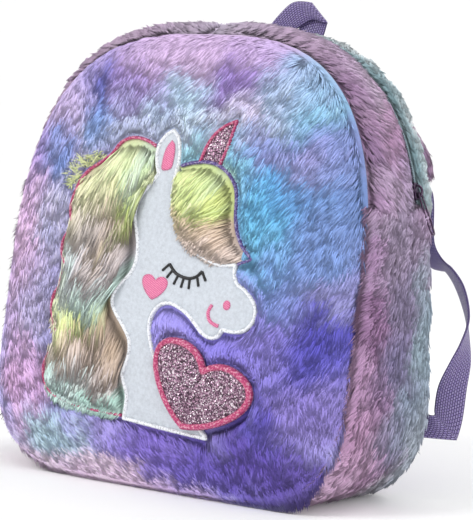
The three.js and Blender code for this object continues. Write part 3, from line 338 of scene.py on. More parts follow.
class TrimColours(PropertyGroup):
    felt: FloatVectorProperty(
        name="Felt", description="Felt of the head", subtype="COLOR", min=0, max=1,
        default=linear("#c8ced6"))
    white_thread: FloatVectorProperty(
        name="White thread", description="Stitched edge of the head", subtype="COLOR", min=0, max=1,
        default=linear("#eceff4"))
    pink_thread: FloatVectorProperty(
        name="Pink thread", description="Stitched edge of the mane, horn and heart", subtype="COLOR",
        min=0, max=1, default=linear("#c03a72"))
    purple_thread: FloatVectorProperty(
        name="Purple thread", description="Stitched edge of the forelock", subtype="COLOR",
        min=0, max=1, default=linear("#57418c"))
    satin: FloatVectorProperty(
        name="Pink satin", description="Cheek, ear, mouth and nostril", subtype="COLOR",
        min=0, max=1, default=linear("#e46a9c"))
    webbing: FloatVectorProperty(
        name="Webbing", description="Handle and strap webbing", subtype="COLOR", min=0, max=1,
        default=linear("#6a4aa8"))
    zip_tape: FloatVectorProperty(
        name="Zip tape", description="Tape of the zip", subtype="COLOR", min=0, max=1,
        default=linear("#221c3c"))
    slider: FloatVectorProperty(
        name="Slider", description="Lacquer of the slider and its tab", subtype="COLOR", min=0, max=1,
        default=linear("#47284f"))


# Shapes

def signed_power(value, power):
    """A power of the size, with the sign kept: below 1 it squares off a sine or cosine."""
    return np.sign(value) * np.abs(value) ** power


def mix(low, high, share):
    """A share of the way from one value to the other."""
    return low + (high - low) * share


def unit(vectors):
    """Vectors over their lengths."""
    return vectors / np.maximum(np.linalg.norm(vectors, axis=-1, keepdims=True), 1e-9)


def smoothstep(low, high, value):
    """0 below low and 1 above high, with a level start and end."""
    share = np.clip((value - low) / (high - low), 0, 1)
    return share * share * (3 - 2 * share)


def ripple(a, b, size, seed):
    """Smooth noise between about -1 and 1: the mean of seven sine waves of random headings, with
    lengths near the given size."""
    rng = np.random.default_rng(seed)
    heading = rng.uniform(0, 2 * math.pi, 7)
    wave = 2 * math.pi / (size * rng.uniform(0.7, 1.6, 7))
    phase = rng.uniform(0, 2 * math.pi, 7)
    total = 0.0
    for k in range(7):
        total = total + np.sin(wave[k] * (a * math.cos(heading[k]) + b * math.sin(heading[k])) + phase[k])
    return total / 3.2


def seam_at(turn):
    """Seam line, an egg of two superellipse halves that meet at the widest level: x, level and the
    unit vector out of the bag. The turn runs anticlockwise seen from the front."""
    c, s = np.cos(2 * np.pi * turn), np.sin(2 * np.pi * turn)
    power = np.where(s >= 0, DOME_POWER, BASE_POWER)
    reach = np.where(s >= 0, UPPER_REACH, WIDEST)
    size = (np.abs(c) ** power + np.abs(s) ** power) ** (1 / power)
    slope_across = signed_power(c / size, power - 1) / HALF_WIDTH
    slope_up = signed_power(s / size, power - 1) / reach
    out = np.stack([slope_across, slope_up], -1)
    out /= np.linalg.norm(out, axis=-1, keepdims=True)
    return HALF_WIDTH * c / size, WIDEST + reach * s / size, out


TURNS = np.linspace(-0.5, 0.75, 5001)
SEAM_X, SEAM_LEVEL, _ = seam_at(TURNS)
SEAM_LENGTH = np.concatenate([[0], np.cumsum(np.hypot(np.diff(SEAM_X), np.diff(SEAM_LEVEL)))])
SEAM_LENGTH -= np.interp(0.0, TURNS, SEAM_LENGTH)
BASE_END, TOP_MIDDLE, OTHER_BASE_END = np.interp([-0.25, 0.25, 0.75], TURNS, SEAM_LENGTH)


def turn_of(length):
    """Turn at a distance along the seam line from the right-hand widest point."""
    return np.interp(length, SEAM_LENGTH, TURNS)


def length_at_level(level):
    """Distance along the seam line, up from the right-hand widest point, to a level of the dome."""
    up = (level - WIDEST) / UPPER_REACH
    across = (1 - up ** DOME_POWER) ** (1 / DOME_POWER)
    return np.interp(math.atan2(up, across) / (2 * math.pi), TURNS, SEAM_LENGTH)


def panel_half_width(level):
    """Half of a panel's width at a level: a superellipse about the widest level, of one power above it
    and another below."""
    upper = level >= WIDEST
    reach = np.where(upper, UPPER_REACH, WIDEST) + EDGE
    power = np.where(upper, DOME_POWER, BASE_POWER)
    up = np.minimum(1, np.abs(level - WIDEST) / reach)
    return (HALF_WIDTH + EDGE) * (1 - up ** power) ** (1 / power)


def panel_top(x):
    """Level of the dome's edge over a place across, on the same superellipse."""
    across = np.abs(x) / (HALF_WIDTH + EDGE)
    return WIDEST + (UPPER_REACH + EDGE) * (1 - across ** DOME_POWER) ** (1 / DOME_POWER)


def fullness(x, level):
    """0 in the middle of a panel and 1 on its edge."""
    upper = level >= WIDEST
    reach = np.where(upper, UPPER_REACH, WIDEST) + EDGE
    power = np.where(upper, DOME_POWER, BASE_POWER)
    across, up = np.abs(x) / (HALF_WIDTH + EDGE), np.abs(level - WIDEST) / reach
    return (across ** power + up ** power) ** (1 / power)


def crown_of(x, level):
    """1 in the middle of a panel and 0 on its edge, falling with the cube of the fullness."""
    return 1 - np.minimum(1, fullness(x, level)) ** 3


def edge_distance(x, level):
    """Distance to the panel's edge, told from the fullness."""
    return (1 - fullness(x, level)) * HALF_WIDTH


def front_seam_y(level):
    """The front seam plane leans back: the bag is deeper at its base than at its top."""
    return BACK_SEAM_Y - mix(BASE_DEPTH, TOP_DEPTH, level / HEIGHT)


def on_front(x, level, rise):
    """A place of the front panel: the seam plane, less a bulge that falls with the cube of the
    distance from the middle, less the rise."""
    y = front_seam_y(level) - SEAM_GAP / 2 - FRONT_BULGE * crown_of(x, level) - rise
    return np.stack(np.broadcast_arrays(x, y, SEAM_HEIGHT + level), -1)


def on_back(x, level, rise):
    """A place of the back panel, bulged the other way."""
    y = BACK_SEAM_Y + SEAM_GAP / 2 + BACK_BULGE * crown_of(x, level) + rise
    return np.stack(np.broadcast_arrays(x, y, SEAM_HEIGHT + level), -1)


def on_gusset(y, length, rise):
    """A place of the gusset: the seam line at a distance along it, moved out by the rise."""
    x, level, out = seam_at(turn_of(length))
    return np.stack(np.broadcast_arrays(
        x + out[..., 0] * rise, y, SEAM_HEIGHT + level + out[..., 1] * rise), -1)


def fur_rise(distance, pile):
    """Pile stands up in a quarter circle from a seam to its full height."""
    short = 1 - np.clip(distance / PINCH, 0, 1)
    return BACKING + mix(SEAM_PILE, pile, np.sqrt(1 - short * short))


def smooth_line(rows, step):
    """Points at equal distances along a centripetal Catmull-Rom curve: each knot is as far from the
    last as the square root of the distance between their points."""
    rows = np.asarray(rows, float)
    points = np.vstack([2 * rows[0] - rows[1], rows, 2 * rows[-1] - rows[-2]])
    gaps = np.maximum(np.linalg.norm(np.diff(points, axis=0), axis=1) ** 0.5, 1e-6)
    knots = np.concatenate([[0], np.cumsum(gaps)])
    share = np.linspace(0, 1, 24, endpoint=False)
    first = np.arange(len(rows) - 1)
    t = (knots[first + 1][:, None] + gaps[first + 1][:, None] * share)[..., None]

    def between(low, high, k0, k1):
        a, b = knots[first + k0][:, None, None], knots[first + k1][:, None, None]
        return ((b - t) * low + (t - a) * high) / (b - a)

    p = [points[first + k][:, None, :] for k in range(4)]
    a1, a2, a3 = between(p[0], p[1], 0, 1), between(p[1], p[2], 1, 2), between(p[2], p[3], 2, 3)
    fine = between(between(a1, a2, 0, 2), between(a2, a3, 1, 3), 1, 2).reshape(-1, rows.shape[1])
    return resample(np.vstack([fine, rows[-1]]), step)


def resample(line, step):
    """Points at equal distances along a line of short straight pieces."""
    lengths = np.concatenate([[0], np.cumsum(np.linalg.norm(np.diff(line, axis=0), axis=1))])
    count = max(2, math.ceil(lengths[-1] / step))
    places = np.linspace(0, lengths[-1], count + 1)
    return np.stack([np.interp(places, lengths, line[:, k]) for k in range(line.shape[1])], -1)


def on_figure(across, up):
    return np.stack([
        FIGURE["left"] + FIGURE["width"] * np.asarray(across, float) / 100,
        FIGURE["bottom"] + FIGURE["height"] * np.asarray(up, float) / 100,
    ], -1)


def strokes_line(strokes, step):
    """One line through strokes that follow each other."""
    parts = [smooth_line(on_figure(*stroke), step) for stroke in strokes]
    return np.vstack([part[:-1] for part in parts] + [parts[-1][-1:]])


def heart_line(tip, width, height, tilt, step):
    """Both sides of a heart from the cleft to the tip and back, turned about its tip."""
    across, up = np.array(HEART_HALF[0]) * width / 2, np.array(HEART_HALF[1]) * height
    c, s = math.cos(math.radians(tilt)), math.sin(math.radians(tilt))
    base = on_figure(*tip)

    def side(sign):
        turned = np.stack([sign * across * c + up * s, -sign * across * s + up * c], -1)
        return smooth_line(base + turned, step)

    return np.vstack([side(1)[:-1], side(-1)[::-1][:-1]])


def inside(outline, points):
    """True where a point lies in a closed outline: a line to the right of it crosses the outline an
    odd number of times."""
    a, b = outline, np.roll(outline, -1, axis=0)
    x, y = points[:, 0][:, None], points[:, 1][:, None]
    rising = (a[:, 1] > y) != (b[:, 1] > y)
    run = np.where(b[:, 1] == a[:, 1], 1e-9, b[:, 1] - a[:, 1])
    crossing = a[:, 0] + (y - a[:, 1]) / run * (b[:, 0] - a[:, 0])
    return (rising & (x < crossing)).sum(1) % 2 == 1


def distance_to(outline, points):
    """Distance to the nearest side of a closed outline, positive outside it."""
    a, b = outline, np.roll(outline, -1, axis=0)
    way = b - a
    size = np.maximum((way ** 2).sum(1), 1e-9)
    nearest = np.full(len(points), 1e9)
    for start in range(0, len(outline), 16):
        part = slice(start, start + 16)
        offset = points[:, None, :] - a[None, part]
        share = np.clip((offset * way[None, part]).sum(-1) / size[None, part], 0, 1)
        off = offset - share[..., None] * way[None, part]
        nearest = np.minimum(nearest, (off ** 2).sum(-1).min(1))
    return np.sqrt(nearest) * np.where(inside(outline, points), -1, 1)


head_line = strokes_line(HEAD_STROKES, 2.5)[:-1]
mane_edge_line = strokes_line(MANE_STROKES, 2.5)
mane_line = np.vstack([mane_edge_line, on_figure(*MANE_INSIDE)])
forelock_edge_line = strokes_line(FORELOCK_STROKES, 2.5)
forelock_line = np.vstack([forelock_edge_line, on_figure(*FORELOCK_INSIDE)])
horn_edge_line = strokes_line(HORN_STROKES, 1.5)
heart_edge_line = heart_line(HEART["tip"], HEART["width"], HEART["height"], HEART["tilt"], 2.0)


def figure_field():
    """Distance to the outer edge of the whole figure on a grid of 1.5 mm, with its corner."""
    low = np.array([FIGURE["left"] - 24, FIGURE["bottom"] - 24])
    count = (np.array([FIGURE["width"] + 48, FIGURE["height"] + 48]) / 1.5).astype(int) + 2
    grid = np.stack(np.meshgrid(low[0] + 1.5 * np.arange(count[0]), low[1] + 1.5 * np.arange(count[1]),
                                indexing="ij"), -1).reshape(-1, 2)
    outlines = [(head_line, "head"), (mane_line, "mane"), (forelock_line, "forelock"),
                (horn_edge_line, "horn"), (heart_edge_line, "heart")]
    nearest = np.min([distance_to(line, grid) - EDGES[name] / 2 for line, name in outlines], axis=0)
    return low, nearest.reshape(count)


FIELD_LOW, FIELD = figure_field()


def figure_distance(x, level):
    """Distance outside the figure's edge, read between the places of its grid."""
    place = (np.stack([x, level], -1) - FIELD_LOW) / 1.5
    limit = np.array(FIELD.shape) - 1.001
    held = np.clip(place, 0, limit)
    beyond = 1.5 * np.linalg.norm(place - held, axis=-1)
    k = held.astype(int)
    f = held - k
    i, j = k[..., 0], k[..., 1]
    value = ((FIELD[i, j] * (1 - f[..., 0]) + FIELD[i + 1, j] * f[..., 0]) * (1 - f[..., 1])
             + (FIELD[i, j + 1] * (1 - f[..., 0]) + FIELD[i + 1, j + 1] * f[..., 0]) * f[..., 1])
    return value + beyond


# Dye with painted light and shade, and the lie of the pile

def dye_and_painted_light(pools, ground, across, up, seed):
    """Colour of dyed pile, with the painted shade that some pools hold: each pool counts for its strength
    times a bell of the distance from its middle, measured in its own sizes and blurred by two noises, and the
    ground colour for a little."""
    shift_a = 5 * ripple(across, up, 30, seed) + 2.5 * ripple(across, up, 9, seed + 1)
    shift_b = 5 * ripple(across, up, 30, seed + 2) + 2.5 * ripple(across, up, 9, seed + 3)
    weight = np.full(np.shape(across), 0.14)
    total = weight[..., None] * linear(ground)
    for pool in pools:
        one = dict(zip(POOL_NAMES, pool))
        far = ((across + shift_a - one["across"]) / (1.15 * one["wide"])) ** 2 \
            + ((up + shift_b - one["up"]) / (1.15 * one["tall"])) ** 2
        share = one["strength"] * np.exp(-far)
        weight = weight + share
        total = total + share[..., None] * linear(one["colour"])
    colour = total / weight[..., None]
    grey = colour.mean(-1, keepdims=True)
    return mix(grey, colour, 0.88)


def lie_at(anchors, across, up, reach, seed):
    """Heading of the pile in radians: the mean of the anchors' ways, each weighted by a bell of its
    distance, turned by two noises."""
    anchors = np.array(anchors, float)
    c, s = 0.0, 0.0
    for a, b, degrees in anchors:
        share = np.exp(-((across - a) ** 2 + (up - b) ** 2) / (2 * reach * reach)) + 1e-5
        c, s = c + share * math.cos(math.radians(degrees)), s + share * math.sin(math.radians(degrees))
    return np.arctan2(s, c) + 0.22 * ripple(across, up, 38, seed) + 0.16 * ripple(across, up, 13, seed + 1)


def scatter(low, high, spacing, rng):
    """Places on a jittered grid over a rectangle."""
    counts = np.maximum(1, np.ceil((np.array(high) - low) / spacing).astype(int))
    a, b = np.meshgrid(np.arange(counts[0]), np.arange(counts[1]), indexing="ij")
    place = np.stack([a, b], -1).reshape(-1, 2) + rng.uniform(0, 1, (counts[0] * counts[1], 2))
    return np.array(low) + place * (np.array(high) - low) / counts


def tufts(place, size, seed):
    """The tuft that each hair belongs to: the nearest of the middles of a jittered grid. Returns the
    tuft's middle and three random numbers of its own."""
    cell = np.floor(place / size).astype(int)
    best, middle, code = np.full(len(place), 1e9), np.zeros_like(place), np.zeros(len(place), np.int64)

    def chance(key, salt):
        value = np.sin(key * 12.9898 + salt * 78.233 + seed * 3.7) * 43758.5453
        return value - np.floor(value)

    for step_a in (-1, 0, 1):
        for step_b in (-1, 0, 1):
            key = (cell[:, 0] + step_a) * 131 + (cell[:, 1] + step_b) * 977
            spot = size * np.stack([cell[:, 0] + step_a + chance(key, 1),
                                    cell[:, 1] + step_b + chance(key, 2)], -1)
            far = ((place - spot) ** 2).sum(1)
            near = far < best
            best, middle[near], code[near] = np.where(near, far, best), spot[near], key[near]
    return middle, np.stack([chance(code, salt) for salt in (3, 4, 5)], -1)


# Meshes

def mesh_object(name, points, faces, material, colours=None, uvs=None, lays=None, smooth=True):
    """A closed mesh from points in millimetres and faces of three or four corners. Its faces are
    turned outwards: the volume under them has to be positive."""
    points, faces = np.asarray(points, float).reshape(-1, 3), np.asarray(faces, np.int32)
    a, b, c = points[faces[:, 0]], points[faces[:, 1]], points[faces[:, 2]]
    volume = (a * np.cross(b, c)).sum()
    if faces.shape[1] == 4:
        volume += (a * np.cross(c, points[faces[:, 3]])).sum()
    if volume < 0:
        faces = faces[:, ::-1]
        uvs = None if uvs is None else uvs[:, ::-1]
    corners = faces.shape[1]
    mesh = bpy.data.meshes.new(name)
    mesh.vertices.add(len(points))
    mesh.vertices.foreach_set("co", (points * MM).astype(np.float32).ravel())
    mesh.loops.add(faces.size)
    mesh.loops.foreach_set("vertex_index", faces.ravel())
    mesh.polygons.add(len(faces))
    mesh.polygons.foreach_set("loop_start", np.arange(0, faces.size, corners, dtype=np.int32))
    mesh.polygons.foreach_set("loop_total", np.full(len(faces), corners, np.int32))
    mesh.polygons.foreach_set("use_smooth", np.full(len(faces), smooth))
    if colours is not None:
        # These colours hold the dye together with painted light and shade.
        layer = mesh.color_attributes.new("dye_and_painted_light", "FLOAT_COLOR", "POINT")
        full = np.concatenate([colours, np.ones((len(points), 1))], 1)
        layer.data.foreach_set("color", full.astype(np.float32).ravel())
    if lays is not None:
        layer = mesh.attributes.new("lay", "FLOAT_VECTOR", "POINT")
        layer.data.foreach_set("vector", lays.astype(np.float32).ravel())
    if uvs is not None:
        mesh.uv_layers.new(name="weave").data.foreach_set("uv", uvs.astype(np.float32).ravel())
    mesh.update(calc_edges=True)
    mesh.validate()
    mesh.materials.append(material)
    made = bpy.data.objects.new(name, mesh)
    bpy.context.scene.collection.objects.link(made)
    return made


def grid_faces(rows, columns, closed_rows=False, closed_columns=False):
    """Faces of four corners between neighbours of a grid of rows and columns."""
    i = np.arange(rows if closed_rows else rows - 1)
    j = np.arange(columns if closed_columns else columns - 1)
    i, j = np.meshgrid(i, j, indexing="ij")
    i, j = i.ravel(), j.ravel()
    k, m = (i + 1) % rows, (j + 1) % columns
    return np.stack([i * columns + j, i * columns + m, k * columns + m, k * columns + j], -1)


def tube_mesh(loops, closed=False):
    """Points and faces of a closed body through loops of equally many points, its ends shut by
    faces to a point in their middle."""
    rows, columns = loops.shape[:2]
    points = loops.reshape(-1, 3)
    faces = grid_faces(rows, columns, closed, True)
    if closed:
        return points, faces
    hubs = np.stack([loops[0].mean(0), loops[-1].mean(0)])
    j = np.arange(columns)
    m = (j + 1) % columns
    first, last = len(points), (rows - 1) * columns
    start = np.stack([m, j, np.full(columns, first), np.full(columns, first)], -1)
    end = np.stack([last + j, last + m, np.full(columns, first + 1), np.full(columns, first + 1)], -1)
    return np.vstack([points, hubs]), np.vstack([faces, start, end])


def triangles(faces):
    """The triangles of faces of four corners, without those that have no area."""
    both = np.vstack([faces[:, [0, 1, 2]], faces[:, [0, 2, 3]]])
    keep = (both[:, 0] != both[:, 1]) & (both[:, 1] != both[:, 2]) & (both[:, 0] != both[:, 2])
    return both[keep]


def joined(parts):
    """Several lots of points and triangles as one."""
    points, faces, count = [], [], 0
    for one_points, one_faces in parts:
        points.append(one_points)
        faces.append(one_faces + count)
        count += len(one_points)
    return np.vstack(points), np.vstack(faces)


def shell_mesh(outer, inner):
    """Points and faces of a closed wall between an outer and an inner grid of the same size."""
    rows, columns = outer.shape[:2]
    points = np.vstack([outer.reshape(-1, 3), inner.reshape(-1, 3)])
    top = grid_faces(rows, columns)
    low = top[:, ::-1] + rows * columns
    rim = np.concatenate([
        np.arange(columns), np.arange(1, rows) * columns + columns - 1,
        (rows - 1) * columns + np.arange(columns - 2, -1, -1), np.arange(rows - 2, 0, -1) * columns])
    after = np.roll(rim, -1)
    wall = np.stack([after, rim, rim + rows * columns, after + rows * columns], -1)
    return points, np.vstack([top, low, wall])


def above_floor(points):
    """Points no lower than a small clearance over the floor."""
    points = np.array(points)
    points[..., 2] = np.maximum(points[..., 2], FLOOR_CLEARANCE)
    return points


def hairs(surface, place, middle_place, side, far, width, root, middle, tip, colours, shade):
    """Points, faces and colours of hairs. Each is a bent blade of four faces: a point at its root, two points
    across its middle and a point at its tip, all found on a surface of two places and a rise, so that the
    hair follows the panel's curve. Shade darkens or lightens the whole hair, the root is painted darker as
    painted shade deep in the pile, and the tip a little whiter as a painted highlight."""
    wide = side * (width / 2)[:, None]

    def at(spot, rise):
        return surface(spot[:, 0], spot[:, 1], rise)

    points = above_floor(np.stack([
        at(place, root), at(middle_place + wide, middle), at(middle_place - wide, middle), at(far, tip)], 1))
    normal = np.cross(points[:, 1] - points[:, 0], points[:, 2] - points[:, 0])
    volume = (normal * (points[:, 3] - points[:, 0])).sum(1)
    full = np.abs(volume) > 1e-3
    points, place, colours, shade, volume, root = (
        one[full] for one in (points, place, colours, shade, volume, root))
    pattern = np.array([[0, 2, 1], [3, 1, 2], [0, 1, 3], [0, 3, 2]])
    pattern = np.where((volume > 0)[:, None, None], pattern, pattern[:, ::-1])
    faces = (pattern + 4 * np.arange(len(place))[:, None, None]).reshape(-1, 3)
    colours = colours * shade[:, None]
    # Painted shade and highlight: the root is 8% darker, for the shade deep in the pile, and the tip is mixed
    # 5% towards white.
    four = np.stack([colours * 0.92, colours, colours, mix(colours, np.ones(3), 0.05)], 1)
    step = np.array([0.5, 0.0])
    across = at(place + step, root) - at(place - step, root)
    up = at(place + step[::-1], root) - at(place - step[::-1], root)
    out = unit(np.cross(across, up))
    flip = np.sign(((at(place, root + 1) - at(place, root)) * out).sum(1, keepdims=True))
    return points.reshape(-1, 3), faces, np.clip(four, 0, 0.97).reshape(-1, 3), np.repeat(out * flip, 4, 0)


def fur(surface, place, envelope, colour, heading, length, width, seed, tuft_size=7.0, relief=0.9, base=0.62,
        hold=None):
    """Hairs over a surface. Those of one tuft lean towards its tip and share a heading, a height and a shade,
    which is painted light and shade: raised tufts are lighter and sunken ones darker. The envelope is the
    rise of the pile's outside at a place, and hold may move the tips."""
    rng = np.random.default_rng(seed)
    middle, chance = tufts(place, tuft_size, seed)
    _, wide_chance = tufts(place, tuft_size * 3.1, seed + 1)
    angle = heading + 0.3 * (chance[:, 0] - 0.5) + 0.25 * (wide_chance[:, 0] - 0.5)
    angle = angle + rng.normal(0, 0.1, len(place))
    long = length * (0.7 + 0.3 * chance[:, 1] + 0.4 * rng.random(len(place)))
    way = np.stack([np.cos(angle), np.sin(angle)], -1)
    goal = middle + 0.8 * way * length[:, None]
    far = mix(place + way * long[:, None], goal, 0.3)
    if hold is not None:
        far = hold(far)
    run = far - place
    reached = np.maximum(np.linalg.norm(run, axis=1, keepdims=True), 0.01)
    side = np.stack([-run[:, 1], run[:, 0]], -1) / reached
    half_way = place + 0.42 * run
    own = 0.3 * rng.normal(0, 1, len(place))
    lift = relief * (0.6 * (chance[:, 2] - 0.5) + 0.9 * (wide_chance[:, 1] - 0.5) + own)
    wild = (rng.random(len(place)) < 0.03) * rng.uniform(0.5, 2.0, len(place))
    root = envelope(place[:, 0], place[:, 1]) * base
    top = envelope(far[:, 0], far[:, 1])
    lift *= np.clip(top / 10, 0.3, 1)
    tip = np.maximum(top + lift + wild, 0.6 * top)
    bend = mix(root, envelope(half_way[:, 0], half_way[:, 1]) + lift, rng.uniform(0.6, 0.95, len(place)))
    # Painted light and shade: the tuft's shade follows the same random numbers as its lift, so raised tufts
    # are lighter and sunken ones darker; each hair adds a random tone of its own.
    shade = 1 + 0.06 * (chance[:, 2] - 0.5) + 0.08 * (wide_chance[:, 1] - 0.5)
    shade = shade + rng.normal(0, 0.05, len(place))
    wide = width * rng.uniform(0.7, 1.3, len(place))
    return hairs(surface, place, half_way, side, far, wide, root, bend, tip, colour, shade)


# Materials

def node(tree, kind, inputs=(), **settings):
    """Adds a node with its settings. Its inputs are values or the sockets that feed them."""
    made = tree.nodes.new(kind)
    for name, value in settings.items():
        setattr(made, name, value)
    for key, value in dict(inputs).items():
        if isinstance(value, bpy.types.NodeSocket):
            tree.links.new(value, made.inputs[key])
        else:
            made.inputs[key].default_value = value
    return made


def rgba(colour):
    return (*[float(one) for one in colour], 1.0)


def ramp(tree, factor, stops):
    """A colour ramp through stops of a place and a colour."""
    made = node(tree, "ShaderNodeValToRGB", {"Fac": factor})
    elements = made.color_ramp.elements
    while len(elements) < len(stops):
        elements.new(0.5)
    for element, (place, colour) in zip(elements, stops):
        element.position, element.color = place, rgba(colour)
    return made.outputs["Color"]


def bumps(tree, height, strength, depth):
    """The normal of a fine relief, its depth in metres."""
    return node(tree, "ShaderNodeBump",
                {"Strength": strength, "Distance": depth, "Height": height}).outputs["Normal"]


def new_material(name):
    material = bpy.data.materials.new(name)
    material.use_nodes = True
    material.node_tree.nodes.clear()
    return material, material.node_tree


def finish_material(tree, inputs):
    shader = node(tree, "ShaderNodeBsdfPrincipled", inputs)
    node(tree, "ShaderNodeOutputMaterial", {"Surface": shader.outputs["BSDF"]})


def plush_material(name):
    """Acrylic plush, knitted and tie-dyed. Fine noise varies the dye from hair to hair. Each hair is
    lit mostly as the panel under it is, by the way kept in "lay", so that the pile looks soft, and the
    sheen gives the bloom of a brushed pile."""
    material, tree = new_material(name)
    place = node(tree, "ShaderNodeTexCoord").outputs["Object"]
    # The hair colour attribute holds the dye with painted light and shade: darker roots, skins and clipped
    # ground, tips a little whiter, and raised tufts lighter than sunken ones.
    hue = node(tree, "ShaderNodeAttribute", attribute_name="dye_and_painted_light").outputs["Color"]
    fine = node(tree, "ShaderNodeTexNoise", {"Vector": place, "Scale": 700.0, "Detail": 2.0}).outputs["Fac"]
    level = node(tree, "ShaderNodeMapRange", {"Value": fine, "From Min": 0.3, "From Max": 0.7, "To Min": 0.93,
                                              "To Max": 1.07}).outputs["Result"]
    colour = node(tree, "ShaderNodeHueSaturation", {"Color": hue, "Value": level}).outputs["Color"]
    lay = node(tree, "ShaderNodeAttribute", attribute_name="lay").outputs["Vector"]
    panel = node(tree, "ShaderNodeVectorMath", {0: lay, "Scale": 3.0}, operation="SCALE").outputs["Vector"]
    hair = node(tree, "ShaderNodeNewGeometry").outputs["Normal"]
    normal = node(tree, "ShaderNodeVectorMath", {0: panel, 1: hair}, operation="ADD").outputs["Vector"]
    normal = node(tree, "ShaderNodeVectorMath", {0: normal}, operation="NORMALIZE").outputs["Vector"]
    finish_material(tree, {"Base Color": colour, "Roughness": 0.65, "Specular IOR Level": 0.2,
                           "Sheen Weight": 0.3, "Sheen Roughness": 0.5, "Normal": normal})
    return material


def felt_material(colour):
    """Pressed polyester felt: matt, with short loose fibres that mottle it and roughen its surface."""
    material, tree = new_material("pressed_felt")
    place = node(tree, "ShaderNodeTexCoord").outputs["Object"]
    fibre = node(tree, "ShaderNodeTexNoise", {"Vector": place, "Scale": 420.0, "Detail": 6.0,
                                              "Roughness": 0.75}).outputs["Fac"]
    shade = ramp(tree, fibre, [(0.3, np.array(colour) * 0.82), (0.62, np.array(colour) * 1.06)])
    bump = bumps(tree, fibre, 0.5, 0.0004)
    finish_material(tree, {"Base Color": shade, "Roughness": 0.9, "Specular IOR Level": 0.2,
                           "Sheen Weight": 0.2, "Sheen Roughness": 0.6, "Normal": bump})
    return material


def thread_material(name, colour, painted_highlight=0.3):
    """Rayon embroidery thread laid side by side, with a painted highlight on each thread and painted shade in
    its gaps: a fine noise shades the colour from darker to whiter, and also gives the bump.
    """
    material, tree = new_material(name)
    place = node(tree, "ShaderNodeTexCoord").outputs["Object"]
    fine = node(tree, "ShaderNodeTexNoise", {"Vector": place, "Scale": 750.0, "Detail": 3.0}).outputs["Fac"]
    colour = np.array(colour)
    # Painted shade and highlight: the colour is darkened where the noise is low and mixed towards white where
    # it is high; the last argument sets how much white, and a third of it sets the sheen.
    shade = ramp(tree, fine, [(0.36, colour * 0.6), (0.5, colour), (0.64, mix(colour, np.ones(3), painted_highlight))])
    bump = bumps(tree, fine, 0.4, 0.0002)
    finish_material(tree, {"Base Color": shade, "Roughness": 0.42, "Sheen Weight": painted_highlight / 3, "Normal": bump})
    return material


def satin_material(name, colour):
    """Satin-stitch filling: rows of thread 0.9 mm wide, drawn a little coarser than real so that they show,
    each painted darker in its groove as painted shade and whiter on its crest as a painted highlight, with a
    silky shine."""
    material, tree = new_material(name)
    place = node(tree, "ShaderNodeTexCoord").outputs["Object"]
    turned = node(tree, "ShaderNodeMapping", {"Vector": place, "Rotation": (0.0, math.radians(62), 0.0)})
    rows = node(tree, "ShaderNodeTexWave", {
        "Vector": turned.outputs["Vector"], "Scale": 260.0, "Distortion": 3.0, "Detail": 2.0,
        "Detail Scale": 3.0}).outputs["Fac"]
    colour = np.array(colour)
    # Painted shade and highlight: each row's groove is darkened to 0.75 and its crest mixed 14% towards
    # white.
    shade = ramp(tree, rows, [(0.0, colour * 0.75), (0.45, colour), (1.0, mix(colour, np.ones(3), 0.14))])
    bump = bumps(tree, rows, 0.7, 0.0003)
    finish_material(tree, {"Base Color": shade, "Roughness": 0.36, "Sheen Weight": 0.1, "Normal": bump})
    return material


def glitter_material():
    """Glitter canvas: film flakes about 0.8 mm across, set in clear resin. Each flake has its own tilt, which
    catches real glints, and its own tone from near black through mauve to near white, which paints a few as
    white glints and their neighbours dark as painted shade."""
    material, tree = new_material("glitter_canvas")
    place = node(tree, "ShaderNodeTexCoord").outputs["Object"]
    flake = node(tree, "ShaderNodeTexVoronoi", {"Vector": place, "Scale": 1250.0}).outputs["Color"]
    chance = node(tree, "ShaderNodeSeparateColor", {"Color": flake}).outputs["Red"]
    # Painted glints and shade: the flakes' tones run from near black to near white, standing in for flakes
    # that catch the light and those turned from it.
    tones = [(0.0, linear("#2b2028")), (0.35, linear("#5e4657")), (0.6, linear("#836279")),
             (0.84, linear("#ad869d")), (0.95, linear("#f4e8f0"))]
    shade = ramp(tree, chance, tones)
    tilt = node(tree, "ShaderNodeVectorMath", {0: flake, 1: (0.5, 0.5, 0.5)},
                operation="SUBTRACT").outputs["Vector"]
    lean = node(tree, "ShaderNodeVectorMath", {0: tilt, "Scale": 0.75}, operation="SCALE").outputs["Vector"]
    face = node(tree, "ShaderNodeNewGeometry").outputs["Normal"]
    normal = node(tree, "ShaderNodeVectorMath", {0: face, 1: lean}, operation="ADD").outputs["Vector"]
    finish_material(tree, {"Base Color": shade, "Metallic": 0.6, "Roughness": 0.32, "Normal": normal})
    return material


def flake_material():
    """Loose film flakes on top of the canvas, bright metal."""
    material, tree = new_material("glitter_flakes")
    place = node(tree, "ShaderNodeTexCoord").outputs["Object"]
    noise = node(tree, "ShaderNodeTexNoise", {"Vector": place, "Scale": 700.0}).outputs["Fac"]
    shade = ramp(tree, noise, [(0.35, linear("#9b7890")), (0.6, linear("#dcc4d2"))])
    finish_material(tree, {"Base Color": shade, "Metallic": 0.9, "Roughness": 0.22})
    return material


